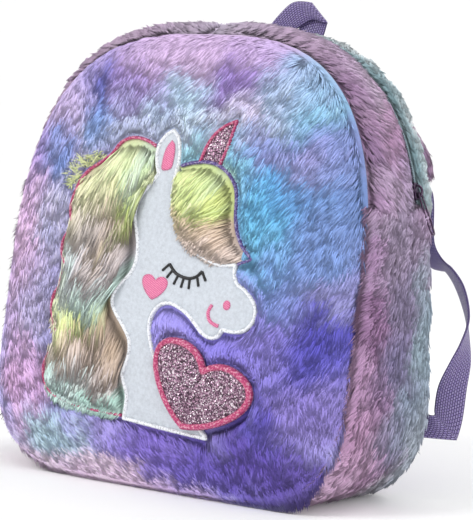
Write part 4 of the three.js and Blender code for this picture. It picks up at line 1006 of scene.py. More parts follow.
def webbing_material(colour):
    """Woven polypropylene webbing. Its UV map is in millimetres along and across: raised pale yarns in
    staggered rows 2.4 mm long over a dark ground."""
    material, tree = new_material("woven_polypropylene")
    uv = node(tree, "ShaderNodeUVMap", uv_map="weave").outputs["UV"]
    yarns = node(tree, "ShaderNodeTexBrick", {
        "Vector": uv, "Scale": 1.0, "Mortar Size": 0.34, "Mortar Smooth": 0.5, "Brick Width": 2.2,
        "Row Height": 1.6}, offset=0.5)
    gap = yarns.outputs["Fac"]
    noise = node(tree, "ShaderNodeTexNoise", {"Vector": uv, "Scale": 0.9, "Detail": 2.0}).outputs["Fac"]
    colour = np.array(colour)
    tone = ramp(tree, noise, [(0.35, mix(colour, np.ones(3), 0.1)), (0.65, mix(colour, np.ones(3), 0.3))])
    shade = node(tree, "ShaderNodeMix", {"Factor": gap, 6: tone, 7: rgba(colour * 0.35)}, data_type="RGBA")
    height = node(tree, "ShaderNodeMath", {0: 1.0, 1: gap}, operation="SUBTRACT").outputs["Value"]
    bump = bumps(tree, height, 0.9, 0.0005)
    finish_material(tree, {"Base Color": shade.outputs[2], "Roughness": 0.5, "Sheen Weight": 0.15,
                           "Normal": bump})
    return material


def tape_material(colour):
    """Herringbone polyester zip tape, drawn at 1 mm a rib: dark and matt."""
    material, tree = new_material("zip_tape_weave")
    place = node(tree, "ShaderNodeTexCoord").outputs["Object"]
    ribs = node(tree, "ShaderNodeTexWave", {"Vector": place, "Scale": 320.0, "Distortion": 1.0},
                bands_direction="DIAGONAL").outputs["Fac"]
    colour = np.array(colour)
    shade = ramp(tree, ribs, [(0.2, colour * 0.6), (0.8, colour * 1.5)])
    bump = bumps(tree, ribs, 0.5, 0.0003)
    finish_material(tree, {"Base Color": shade, "Roughness": 0.7, "Sheen Weight": 0.2, "Normal": bump})
    return material


def nylon_material(colour):
    """Moulded nylon coil: dyed dark, smooth, with a soft plastic highlight."""
    material, tree = new_material("moulded_nylon")
    place = node(tree, "ShaderNodeTexCoord").outputs["Object"]
    noise = node(tree, "ShaderNodeTexNoise", {"Vector": place, "Scale": 400.0}).outputs["Fac"]
    colour = np.array(colour)
    shade = ramp(tree, noise, [(0.3, colour * 0.8), (0.7, colour * 1.4)])
    finish_material(tree, {"Base Color": shade, "Roughness": 0.35, "IOR": 1.53})
    return material


def lacquer_material(colour):
    """Die-cast zinc under dark purple lacquer, worn a little paler where it rubs: glossy and metallic."""
    material, tree = new_material("lacquered_zinc")
    place = node(tree, "ShaderNodeTexCoord").outputs["Object"]
    noise = node(tree, "ShaderNodeTexNoise", {"Vector": place, "Scale": 500.0, "Detail": 3.0}).outputs["Fac"]
    colour = np.array(colour)
    shade = ramp(tree, noise, [(0.4, colour * 0.8), (0.7, mix(colour, np.ones(3), 0.08))])
    rough = node(tree, "ShaderNodeMapRange",
                 {"Value": noise, "To Min": 0.2, "To Max": 0.38}).outputs["Result"]
    finish_material(tree, {"Base Color": shade, "Metallic": 0.8, "Roughness": rough, "Coat Weight": 0.4,
                           "Coat Roughness": 0.12})
    return material


def paper_material():
    """Matt white studio paper under and behind the bag."""
    material, tree = new_material("studio_paper")
    place = node(tree, "ShaderNodeTexCoord").outputs["Object"]
    noise = node(tree, "ShaderNodeTexNoise", {"Vector": place, "Scale": 3.0}).outputs["Fac"]
    shade = ramp(tree, noise, [(0.3, linear("#fbfbfb")), (0.7, linear("#fefefe"))])
    finish_material(tree, {"Base Color": shade, "Roughness": 0.9, "Specular IOR Level": 0.1})
    return material


def plush():
    """The one plush finish, made at its first use."""
    return bpy.data.materials.get("tie_dyed_plush") or plush_material("tie_dyed_plush")


def place_piece(made, slot, replaced=(), body=BAG):
    """Rides a piece on its body and stands it in for CAD nodes. The slot is not used."""
    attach(made, body)
    if replaced:
        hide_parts(*replaced)
    return made


# Fur panels

def panel_grid(step):
    """Places of a panel in rows from the base to the top, each row spread over the panel's width."""
    levels = np.concatenate([[0.0015, 0.014, 0.03, 0.045], np.linspace(0.06, 0.94, int(270 / step)),
                             [0.955, 0.97, 0.986, 0.9985]])
    levels = mix(-EDGE, HEIGHT + EDGE, levels)
    shares = np.concatenate([[0, 0.012, 0.028, 0.045], np.linspace(0.06, 0.94, int(250 / step)),
                             [0.955, 0.972, 0.988, 1]])
    level = np.repeat(levels[:, None], len(shares), 1)
    return mix(-1, 1, shares)[None] * panel_half_width(level), level


def front_envelope(x, level):
    """Rise of the pile's outside on the front: full in the middle, caught in the seam at the edge,
    and pressed a little down next to the figure."""
    beside = smoothstep(-1.0, 14, figure_distance(x, level))
    return fur_rise(edge_distance(x, level), 10.0) * mix(0.5, 1.0, beside)


def skin_share(distance):
    """Height of a skin as a share of its pile's: it grows with the distance from the seam."""
    return mix(0.3, 0.68, smoothstep(1, 12, distance))


def front_skin_rise(x, level):
    """The skin under the pile: low at the seam, so that hairs cover it, and flat under the figure."""
    beside = smoothstep(-2.5, 5, figure_distance(x, level))
    return mix(GROUND - 0.2, skin_share(edge_distance(x, level)) * front_envelope(x, level), beside)


def splay(x, level, heading, rng):
    """Hairs near a panel's edge that already run towards it lean out over the seam: the nearer they are,
    the more of them do. Those that run away from it lie along the seam instead. The way out is the
    steepest way up the panel's fullness."""
    out = np.arctan2(fullness(x, level + 0.2) - fullness(x, level - 0.2),
                     fullness(x + 0.2, level) - fullness(x - 0.2, level))
    near = 1 - smoothstep(0.0, 4.5, edge_distance(x, level))
    turn = np.angle(np.exp(1j * (out - heading)))
    towards = smoothstep(-0.1, 0.6, np.cos(turn))
    share = near * np.where(rng.random(len(x)) < 0.6, 0.6, 0.1) * towards
    along = near * (1 - towards) * rng.uniform(0.5, 1.0, len(x))
    heading = heading + share * turn + along * (turn - np.sign(turn) * np.pi / 2)
    return heading, near * mix(0.7, 1.0, towards)


def off_figure(places, roots):
    """Ends of hairs, drawn back towards their roots until they lie off the figure."""
    for _ in range(4):
        over = figure_distance(places[:, 0], places[:, 1]) < 0.6
        places = np.where(over[:, None], mix(roots, places, 0.65), places)
    return places


def front_colour(x, level):
    """Dye of the front, with the painted shade that its pools hold: its ground with its pools over it."""
    return FRONT_GAIN * dye_and_painted_light(FRONT_POOLS, FRONT_GROUND, x, level, 11)


def front_hairs(spacing, seed, sizes, low, high):
    """Places, headings, lengths and colours of the hairs in one part of the front."""
    rng = np.random.default_rng(seed)
    place = scatter(low, high, spacing, rng)
    x, level = place[:, 0], place[:, 1]
    clear = figure_distance(x, level)
    place = place[(fullness(x, level) < 0.995) & (clear > 0.4)]
    x, level = place[:, 0], place[:, 1]
    heading, near = splay(x, level, lie_at(FRONT_LIE, x, level, 30, 21), rng)
    length = np.full(len(place), sizes.front_length / MM) * (1 - 0.55 * near)
    return place, heading, length, front_colour(x, level)


class BAG_OT_front_fur(Operator):
    """Front panel: a skin under the pile and three lots of hairs"""
    bl_idname = "bag.front_fur"
    bl_label = "Front fur"

    def execute(self, context):
        sizes = context.scene.fur_sizes
        width = sizes.hair_width / MM
        x, level = panel_grid(3.0)
        outer = above_floor(on_front(x, level, front_skin_rise(x, level)))
        inner = above_floor(on_front(x, level, np.zeros_like(x)))
        points, faces = shell_mesh(outer, inner)
        # Painted shade: the skin under the pile is 0.85 of the pile's colour on its outside, for the shade
        # deep in the pile, and half of that on its inside face, inside the bag.
        skin = front_colour(x, level).reshape(-1, 3) * 0.85
        made = mesh_object("front_skin", points, faces, plush(), np.vstack([skin, skin * 0.5]))
        place_piece(made, "front_fur", ["front_panel"])
        half = 146
        for name, seed, bottom, top in (("low", 31, -4, 62), ("middle", 33, 62, 150),
                                        ("high", 32, 150, 228), ("crown", 34, 228, 304)):
            self.strip("front_pile_" + name, seed, sizes, (-half, bottom), (half, top), width)
        return {"FINISHED"}

    @staticmethod
    def strip(name, seed, sizes, low, high, width):
        """The hairs of one level strip of the panel."""
        place, heading, length, colour = front_hairs(0.76, seed, sizes, low, high)
        points, faces, shades, lays = fur(on_front, place, front_envelope, colour, heading, length,
                                          width, seed, hold=lambda far: off_figure(far, place))
        place_piece(mesh_object(name, points, faces, plush(), shades, lays=lays), "front_fur")


class BAG_OT_back_fur(Operator):
    """Back panel: a skin under the pile and its hairs"""
    bl_idname = "bag.back_fur"
    bl_label = "Back fur"

    def execute(self, context):
        sizes = context.scene.fur_sizes
        width = 1.25 * sizes.hair_width / MM
        x, level = panel_grid(5.0)

        def envelope(a, b):
            return fur_rise(edge_distance(a, b), BACK_PILE)

        outer = above_floor(on_back(x, level, skin_share(edge_distance(x, level)) * envelope(x, level)))
        inner = above_floor(on_back(x, level, np.zeros_like(x)))
        points, faces = shell_mesh(outer, inner)
        # Painted shade: the skin under the pile is 0.85 of the pile's colour on its outside, for the shade
        # deep in the pile, and half of that on its inside face, inside the bag.
        skin = dye_and_painted_light(BACK_POOLS, BACK_GROUND, x, level, 41).reshape(-1, 3) * 0.85
        made = mesh_object("back_skin", points, faces, plush(), np.vstack([skin, skin * 0.5]))
        place_piece(made, "back_fur", ["back_panel"])
        rng = np.random.default_rng(42)
        place = scatter((-146, -4), (146, 304), 1.75, rng)
        place = place[fullness(place[:, 0], place[:, 1]) < 0.995]
        a, b = place[:, 0], place[:, 1]
        heading = np.radians(270) + 0.35 * ripple(a, b, 60, 43) + 0.2 * ripple(a, b, 16, 44)
        heading, near = splay(a, b, heading, rng)
        length = np.full(len(place), sizes.back_length / MM) * (1 - 0.5 * near)
        colour = dye_and_painted_light(BACK_POOLS, BACK_GROUND, a, b, 41)
        points, faces, shades, lays = fur(on_back, place, envelope, colour, heading, length, width, 45)
        place_piece(mesh_object("back_pile", points, faces, plush(), shades, lays=lays), "back_fur")
        return {"FINISHED"}


def side_colour(y, length):
    """Dye of the gusset with the painted shade that its pools hold, the same on both sides: measured from the
    nearer widest point.
    """
    folded = np.where(length > TOP_MIDDLE, 2 * TOP_MIDDLE - length, length)
    folded = np.maximum(folded, -170 - 0.3 * (folded + 170))
    return SIDE_GAIN * dye_and_painted_light(SIDE_POOLS, SIDE_GROUND, y, folded, 51)


def side_heading(y, length, rear=False):
    """Lie of the gusset's pile, down both sides. On the left the line runs the other way."""
    left = length > TOP_MIDDLE
    folded = np.where(left, 2 * TOP_MIDDLE - length, length)
    above = folded > length_at_level(ZIP_LEVEL)
    angle = np.where(above, lie_at(BAND_LIE, y, folded, 26, 61), lie_at(SIDE_LIE, y, folded, 26, 61))
    if rear:
        angle = np.radians(248) + 0.3 * ripple(y, length, 20, 62)
    return np.where(left, -angle, angle)


def front_edge(level):
    """The gusset's front edge, half a seam gap behind the front seam plane."""
    return front_seam_y(level) + SEAM_GAP / 2


def back_edge(level):
    """The gusset's back edge, half a seam gap before the back seam plane."""
    return np.full_like(level, BACK_SEAM_Y - SEAM_GAP / 2)


def before_zip(level):
    """The edge of the front band, half a seam gap before the tape."""
    return np.full_like(level, TAPE_FRONT - SEAM_GAP / 2)


def behind_zip(level):
    """The edge of the rear band, half a seam gap behind the tape."""
    return np.full_like(level, TAPE_BACK + SEAM_GAP / 2)


def band_pieces(name, start, end, front, back, spacing, sizes, slot, node_name, rear=False):
    """A band of the gusset from one distance along the seam line to another, between a front and a
    back edge: a closed skin and its hairs."""
    rows = np.linspace(start, end, max(8, int((end - start) / 5)))
    shares = np.array([0, 0.03, 0.08, 0.15, 0.25, 0.38, 0.5, 0.62, 0.75, 0.85, 0.92, 0.97, 1])
    if rear:
        shares = np.array([0, 0.2, 0.5, 0.8, 1])

    def edges(length, rise=0.0):
        _, level, out = seam_at(turn_of(length))
        here = level + out[..., 1] * rise
        return front(here), back(here)

    def envelope(y, length):
        """Full in the middle, caught in the seams, and sloping gently down to the zip. The left shoulder
        and the lower back corner on the right are fuller."""
        low, high = edges(length, 8.0)
        if rear:
            return fur_rise(np.minimum(1.2 * (y - low) + 2.0, high - y + 5.0), 10.0)
        from_end = np.maximum(4.0, np.minimum(length - start, end - length))
        rise = fur_rise(np.minimum(np.minimum(y - low, high - y), from_end), 10.0)
        if back is before_zip:
            rise = np.minimum(rise, EDGE + 1.0 + 0.6 * np.maximum(0, high - y))
        shoulder = np.exp(-((length - 2 * TOP_MIDDLE + 165) / 70) ** 2)
        corner = np.exp(-((length + 75) / 55) ** 2) * smoothstep(-20, 45, y)
        return rise + 3.5 * shoulder + 5.0 * corner

    def hold(far):
        """Tips don't hang over the zip."""
        low, high = edges(far[:, 1], 6.0)
        slack = 0.4 + 1.2 * np.maximum(0, ripple(far[:, 1], 0 * low, 60, 64)) ** 2
        far = far.copy()
        if back is before_zip:
            far[:, 0] = np.minimum(far[:, 0], high + 1.4 + slack)
        if rear:
            far[:, 0] = np.maximum(far[:, 0], low - 0.4)
        return far

    length = np.repeat(rows[:, None], len(shares), 1)
    low, high = edges(length)
    y = mix(low, high, shares[None])
    inside_ends = np.minimum(np.minimum(y - low, high - y), np.minimum(length - start, end - length))
    rise = (0.35 if rear else skin_share(inside_ends)) * envelope(y, length)
    low, high = edges(length, rise)
    outer = above_floor(on_gusset(mix(low, high, shares[None]), length, rise))
    low, high = edges(length)
    inner = above_floor(on_gusset(mix(low, high, shares[None]), length, np.zeros_like(y)))
    points, faces = shell_mesh(outer, inner)
    # Painted shade: the skin under the pile is 0.85 of the pile's colour on its outside, for the shade deep
    # in the pile, and half of that on its inside face; the rear band's skin is one pale teal outside and half
    # of it inside.
    skin = side_colour(y, length).reshape(-1, 3) * 0.85
    if rear:
        skin = np.broadcast_to(linear("#b4ccd6"), skin.shape)
    made = mesh_object(name + "_skin", points, faces, plush(), np.vstack([skin, skin * 0.5]))
    place_piece(made, slot, [node_name])
    rng = np.random.default_rng(len(name) + 53)
    place = scatter((-52, start), (BACK_SEAM_Y, end), spacing, rng)
    low, high = edges(place[:, 1])
    place = place[(place[:, 0] > low + 0.3) & (place[:, 0] < high - 0.3)]
    y, length = place[:, 0], place[:, 1]
    _, level, out = seam_at(turn_of(length))
    under = out[:, 1] < -0.85
    keep = ~under | (rng.random(len(place)) < 0.3)
    place, y, length = place[keep], y[keep], length[keep]
    colour = side_colour(y, length)
    if rear:
        tone = np.clip((y - TAPE_BACK) / REAR_BAND + 0.3 * ripple(length, y, 45, 63), 0, 1)[:, None]
        colour = mix(linear("#a9cfd9"), linear("#e6eef2"), tone)
    heading = side_heading(y, length, rear)
    long = np.full(len(place), sizes.side_length / MM) * (0.6 if rear else 1.0)
    low, high = edges(length)
    for edge, out in ((y - low, -np.pi), (high - y, 0.0)):
        near = (1 - smoothstep(0.5, 6.0, edge)) * (rng.random(len(y)) < 0.6)
        turn = np.angle(np.exp(1j * (out - heading)))
        if not (back is before_zip and out == 0.0) and not rear:
            towards = smoothstep(-0.1, 0.6, np.cos(turn))
            heading = heading + 0.5 * near * towards * turn
            heading = heading + 0.8 * near * (1 - towards) * (turn - np.sign(turn) * np.pi / 2)
            long = long * (1 - 0.3 * near)
    points, faces, shades, lays = fur(on_gusset, place, envelope, colour, heading, long,
                                      1.1 * sizes.hair_width / MM, 71 + len(name),
                                      relief=1.3 if rear else 1.9, base=0.3 if rear else 0.5, hold=hold)
    place_piece(mesh_object(name + "_pile", points, faces, plush(), shades, lays=lays), slot)


class BAG_OT_gusset_fur(Operator):
    """Gusset: the band under the zip's ends and round the base, and the bands on both sides of the zip"""
    bl_idname = "bag.gusset_fur"
    bl_label = "Gusset fur"

    def execute(self, context):
        sizes = context.scene.fur_sizes
        zip_end = length_at_level(ZIP_LEVEL)
        other = 2 * TOP_MIDDLE - zip_end
        half_gap = SEAM_GAP / 2

        band_pieces("base_gusset_right", BASE_END, zip_end - half_gap, front_edge, back_edge, 1.12,
                    sizes, "side_fur", "base_gusset")
        band_pieces("base_gusset_left", other + half_gap, OTHER_BASE_END, front_edge, back_edge, 1.55,
                    sizes, "side_fur", "base_gusset")
        band_pieces("front_band", zip_end + half_gap, other - half_gap, front_edge, before_zip, 1.12,
                    sizes, "side_fur", "front_band")
        band_pieces("rear_band", zip_end + half_gap, other - half_gap, behind_zip, back_edge, 0.8,
                    sizes, "rear_band_fur", "rear_band", rear=True)
        return {"FINISHED"}


# Figure

def patch_mesh(outline, low, high, puff, spacing, surface=on_front):
    """A flat piece cut to a closed outline: the outline and places inside it are joined into
    triangles, once at its low rise and once at its high one, and its edge is closed. The top is
    puffed up by a curve of the distance from the outline."""
    corner, end = outline.min(0), outline.max(0)
    rng = np.random.default_rng(5)
    fill = scatter(corner, end, spacing, rng)
    off = -distance_to(outline, fill)
    fill = fill[off > 0.55 * spacing]
    flat = np.vstack([outline, fill])
    count = len(outline)
    loop = [(k, (k + 1) % count) for k in range(count)]
    verts, _, faces, *_ = delaunay_2d_cdt([Vector(p) for p in flat], loop, [], 1, 1e-4)
    flat = np.array([tuple(v) for v in verts])
    faces = np.array([f for f in faces if len(f) == 3], np.int32)
    depth = np.maximum(0, -distance_to(outline, flat))
    top = high + puff * (1 - np.exp(-depth / 4.0))
    upper = surface(flat[:, 0], flat[:, 1], top)
    lower = surface(flat[:, 0], flat[:, 1], np.full(len(flat), low))
    sides = np.vstack([faces[:, [0, 1]], faces[:, [1, 2]], faces[:, [2, 0]]])
    _, first, times = np.unique(np.sort(sides, 1), axis=0, return_index=True, return_counts=True)
    rim = sides[first[times == 1]]
    n = len(flat)
    wall = np.vstack([np.stack([rim[:, 1], rim[:, 0], rim[:, 0] + n], -1),
                      np.stack([rim[:, 1], rim[:, 0] + n, rim[:, 1] + n], -1)])
    return np.vstack([upper, lower]), np.vstack([faces, faces[:, ::-1] + n, wall])


def edging_mesh(line, width, low, high, closed, thread=1.4, surface=on_front):
    """A satin-stitched edge along a line: an arched section whose top carries slanting threads, each
    one a half wave along the line that is shifted across it."""
    dense = resample(np.vstack([line, line[:1]]) if closed else line, thread / 3)
    dense = dense[:-1] if closed else dense
    ahead = np.roll(dense, -1, 0) - dense
    behind = dense - np.roll(dense, 1, 0)
    if not closed:
        ahead[-1], behind[0] = behind[-1], ahead[0]
    way = unit(ahead) + unit(behind)
    way /= np.maximum(np.linalg.norm(way, axis=1, keepdims=True), 1e-6)
    side = np.stack([-way[:, 1], way[:, 0]], -1)
    share = np.array([-0.5, -0.44, -0.3, -0.1, 0.1, 0.3, 0.44, 0.5])
    arch = np.sqrt(np.maximum(0, 1 - (2 * share) ** 2)) ** 0.8
    along = (thread / 3) * np.arange(len(dense))[:, None]
    phase = along / thread + 0.55 * share[None] * width / thread
    ridge = np.abs(np.sin(np.pi * phase))
    rng = np.random.default_rng(9)
    ragged = 1 + 0.05 * rng.normal(0, 1, (len(dense), 1))
    rise = low + (high - low) * arch[None] + 0.34 * (ridge - 0.5) * (arch[None] > 0.1)
    spot = dense[:, None] + side[:, None] * (share * width)[None, :, None] * ragged[..., None]
    top = surface(spot[..., 0], spot[..., 1], rise)
    base = np.array([0.5, -0.5])
    under = dense[:, None] + side[:, None] * (base * width * 0.9)[None, :, None]
    bottom = surface(under[..., 0], under[..., 1], np.full(under.shape[:2], low - 0.1))
    points, faces = tube_mesh(np.concatenate([top, bottom], 1), closed)
    return points, triangles(faces)


def clear_of(line, outline, gap):
    """The longest run of a line that lies outside an outline grown by a gap."""
    free = distance_to(outline, line) > gap
    starts = np.flatnonzero(np.diff(np.concatenate([[0], free.astype(int), [0]])))
    runs = starts.reshape(-1, 2)
    first, last = max(runs, key=lambda run: run[1] - run[0])
    return line[first:last]


class BAG_OT_head(Operator):
    """Felt head with its stitched edge and the details of the ear and face"""
    bl_idname = "bag.head"
    bl_label = "Head"

    def execute(self, context):
        colours = context.scene.trim_colours
        felt = felt_material(colours.felt)
        points, faces = patch_mesh(head_line, FELT_LOW, FELT_HIGH - 0.4, 0.9, 3.2)
        place_piece(mesh_object("head", points, faces, felt), "white_felt", ["head_felt"])
        white = thread_material("white_rayon_thread", colours.white_thread)
        points, faces = edging_mesh(head_line, EDGES["head"], FELT_LOW, FELT_HIGH + STITCH_RISE, True)
        place_piece(mesh_object("head_edge", points, faces, white), "white_thread", ["head_edging"])
        satin = satin_material("pink_satin_stitch", colours.satin)
        ear = smooth_line(on_figure(*EAR_STROKE), 1.5)[:-1]
        cheek = heart_line(CHEEK["tip"], CHEEK["width"], CHEEK["height"], CHEEK["tilt"], 1.5)
        turns = np.linspace(0, 2 * math.pi, 18, endpoint=False)
        spot = on_figure(NOSTRIL[0], NOSTRIL[1])
        nostril = spot + np.stack([NOSTRIL[2] / 2 * np.cos(turns), NOSTRIL[3] / 2 * np.sin(turns)], -1)
        for name, outline, node_name in [("ear_lining", ear, "ear_inner"), ("cheek", cheek, "cheek_heart"),
                                         ("nostril_stitch", nostril, "nostril")]:
            points, faces = patch_mesh(outline, FACE_LOW, FACE_HIGH - 0.3, 0.6, 1.4)
            place_piece(mesh_object(name, points, faces, satin), "pink_satin", [node_name])
        mouth = smooth_line(on_figure(*MOUTH_STROKE), 1.0)
        points, faces = edging_mesh(mouth, 2.4, FACE_LOW, FACE_HIGH + 0.3, False)
        place_piece(mesh_object("mouth_stitch", points, faces, satin), "pink_satin", ["mouth"])
        black = thread_material("black_rayon_thread", linear("#0c0b0e"), 0.02)
        lid = smooth_line(on_figure(*LASH_ARC), 1.0)
        parts = [edging_mesh(lid, 2.2, FACE_LOW, FACE_HIGH + 0.4, False)]
        for k, degrees in enumerate(LASH_HEADINGS):
            root = lid[round(k * (len(lid) - 1) / (len(LASH_HEADINGS) - 1))]
            way = np.array([math.cos(math.radians(degrees)), math.sin(math.radians(degrees))])
            lash = root + way * np.linspace(0, 7.0, 8)[:, None]
            parts.append(edging_mesh(lash, 1.9, FACE_LOW, FACE_HIGH + 0.2, False))
        points, faces = joined(parts)
        place_piece(mesh_object("eyelash_stitch", points, faces, black), "black_thread", ["eyelashes"])
        return {"FINISHED"}


class BAG_OT_horn_heart(Operator):
    """Glitter horn and heart with their pink edges and loose flakes"""
    bl_idname = "bag.horn_heart"
    bl_label = "Horn and heart"

    def execute(self, context):
        colours = context.scene.trim_colours
        glitter = glitter_material()
        pink = thread_material("pink_rayon_thread", colours.pink_thread)
        points, faces = patch_mesh(heart_edge_line, HEART_LOW, HEART_HIGH - 0.4, 0.8, 3.0)
        place_piece(mesh_object("heart_field", points, faces, glitter), "glitter_fabric", ["heart"])
        points, faces = edging_mesh(heart_edge_line, EDGES["heart"], HEART_LOW,
                                    HEART_HIGH + STITCH_RISE, True)
        place_piece(mesh_object("heart_edge", points, faces, pink), "pink_thread", ["heart_edging"])
        points, faces = patch_mesh(horn_edge_line, FELT_LOW, FELT_HIGH - 0.3, 0.4, 2.2)
        place_piece(mesh_object("horn_field", points, faces, glitter), "glitter_fabric", ["horn"])
        points, faces = edging_mesh(horn_edge_line, EDGES["horn"], FELT_LOW, FELT_HIGH + STITCH_RISE, False)
        place_piece(mesh_object("horn_edge", points, faces, pink), "pink_thread", ["horn_edging"])
        flakes = flake_material()
        for name, outline, rise in [("heart_flakes", heart_edge_line, HEART_HIGH + 0.3),
                                    ("horn_flakes", horn_edge_line, FELT_HIGH + 0.05)]:
            rng = np.random.default_rng(91)
            spots = scatter(outline.min(0), outline.max(0), 2.1, rng)
            spots = spots[-distance_to(outline, spots) > 3.2]
            points, faces = self.flakes(spots, rise, rng)
            place_piece(mesh_object(name, points, faces, flakes, smooth=False), "glitter_fabric")
        return {"FINISHED"}

    @staticmethod
    def flakes(spots, rise, rng):
        """Small tilted hexagons: two rings of six places, the lower one a little wider."""
        turn = np.linspace(0, 2 * math.pi, 6, endpoint=False)[None] + rng.uniform(0, 1, (len(spots), 1))
        size = rng.uniform(0.3, 0.55, (len(spots), 1))
        tilt = rng.normal(0, 0.3, (len(spots), 2))
        a, b = size * np.cos(turn), size * np.sin(turn)
        lift = tilt[:, :1] * a + tilt[:, 1:] * b
        x, level = spots[:, :1] + a, spots[:, 1:] + b
        top = on_front(x, level, rise + 0.28 + lift)
        low = on_front(x, level, rise - 0.25 + 0 * lift)
        points = np.concatenate([top, low], 1).reshape(-1, 3)
        j = np.arange(6)
        m = (j + 1) % 6
        wall = np.vstack([np.stack([j, j + 6, m], -1), np.stack([m, j + 6, m + 6], -1)])
        caps = np.array([[0, 1, 2], [0, 2, 3], [0, 3, 4], [0, 4, 5]])
        pattern = np.vstack([wall, caps, caps[:, ::-1] + 6])
        return points, (pattern[None] + 12 * np.arange(len(spots))[:, None, None]).reshape(-1, 3)


class BAG_OT_hair(Operator):
    """Mane and forelock: clipped ground, long hair, and their stitched edges"""
    bl_idname = "bag.hair"
    bl_label = "Mane and forelock"

    def execute(self, context):
        colours, sizes = context.scene.trim_colours, context.scene.fur_sizes
        pink = bpy.data.materials.get("pink_rayon_thread")
        pink = pink or thread_material("pink_rayon_thread", colours.pink_thread)
        purple = thread_material("purple_rayon_thread", colours.purple_thread)
        for name, line, edge_line, edge, thread, slot, node_name, edge_node, size in [
            ("mane_hair", mane_line, mane_edge_line, "mane", pink, "pink_thread", "mane", "mane_edging", 1.0),
            ("forelock_hair", forelock_line, forelock_edge_line, "forelock", purple, "purple_thread",
             "forelock", "forelock_edging", 0.8),
        ]:
            self.hair(name, line, sizes, node_name, size)
            free = clear_of(edge_line, head_line, EDGES["head"] / 2 + SEAM_GAP)
            points, faces = edging_mesh(free, EDGES[edge], FELT_LOW, FELT_HIGH + STITCH_RISE, False, 1.6)
            made = mesh_object(edge_node.replace("ing", "e_stitch"), points, faces, thread)
            place_piece(made, slot, [edge_node])
        self.spill()
        return {"FINISHED"}

    @staticmethod
    def colour(place):
        shares = (place - [FIGURE["left"], FIGURE["bottom"]]) / [FIGURE["width"], FIGURE["height"]] * 100
        return HAIR_GAIN * dye_and_painted_light(HAIR_POOLS, HAIR_GROUND, shares[:, 0], shares[:, 1], 101)

    @staticmethod
    def heading(place):
        shares = (place - [FIGURE["left"], FIGURE["bottom"]]) / [FIGURE["width"], FIGURE["height"]] * 100
        return lie_at(HAIR_LIE, shares[:, 0], shares[:, 1], 9, 111)

    def hair(self, name, line, sizes, node_name, size):
        """Clipped ground over the region and hair whose tips stay inside it or just cross its edge."""
        edge_gap = EDGES["mane"] / 2
        outside_head = distance_to(head_line, line) > 0
        ground_line = line[outside_head] if name == "forelock_hair" else line
        rng = np.random.default_rng(121)
        points, faces = patch_mesh(ground_line, FELT_LOW, FELT_LOW + 0.9, 0.4, 3.5)
        flat = points[:, [0, 2]] - [0, SEAM_HEIGHT]
        # Painted shade: the clipped ground under the hair is 0.7 of the hair's colour, for the shade under
        # the long hair.
        made = mesh_object(name + "_ground", points, faces, plush(), self.colour(flat) * 0.7)
        place_piece(made, "mane_fur", [node_name])
        place = scatter(line.min(0), line.max(0), 0.95, rng)
        depth = -distance_to(line, place)
        off_head = distance_to(head_line, place) - EDGES["head"] / 2
        keep = (depth > edge_gap) & (off_head > 0.3)
        place = place[keep]
        heading = self.heading(place)
        long = np.full(len(place), size * sizes.mane_length / MM)

        def envelope(x, level):
            near = -distance_to(line, np.stack([x, level], -1))
            return FELT_LOW + 2.8 + (5.0 if size == 1.0 else 4.0) * smoothstep(1, 15, near)

        def hold(far):
            """Tips stay inside the stitched edge, and reach no more than a hair's width over the felt."""
            for _ in range(4):
                over = distance_to(line, far) > -edge_gap - 0.3
                over = over | (distance_to(head_line, far) < 0.8)
                far = np.where(over[:, None], mix(place, far, 0.7), far)
            return far

        points, faces, shades, lays = fur(on_front, place, envelope, self.colour(place), heading, long,
                                          sizes.hair_width / MM, 131, tuft_size=9.0, relief=2.6,
                                          base=0.55, hold=hold)
        place_piece(mesh_object(name, points, faces, plush(), shades, lays=lays), "mane_fur")

    @staticmethod
    def spill():
        """Loose curls of lime hair outside the pink edge, by the top left of the mane."""
        rng = np.random.default_rng(141)
        place = scatter(on_figure(3.5, 76), on_figure(20, 89), 0.85, rng)
        off = distance_to(mane_line, place)
        place = place[(off > 0.5) & (off < 8 + 2 * ripple(place[:, 0], place[:, 1], 9, 143))]
        heading = np.radians(185) + 1.5 * ripple(place[:, 0], place[:, 1], 9, 144)
        long = rng.uniform(4, 8, len(place))
        tone = rng.random((len(place), 1))
        colour = HAIR_GAIN * mix(linear("#b9c487"), linear("#d3d6a8"), tone)

        def envelope(x, level):
            return front_envelope(x, level) + 1.0

        points, faces, shades, lays = fur(on_front, place, envelope, colour, heading, long, 0.6, 142,
                                          tuft_size=5.0, relief=2.5, base=0.5)
        place_piece(mesh_object("mane_curls", points, faces, plush(), shades, lays=lays), "mane_fur")


# Zip

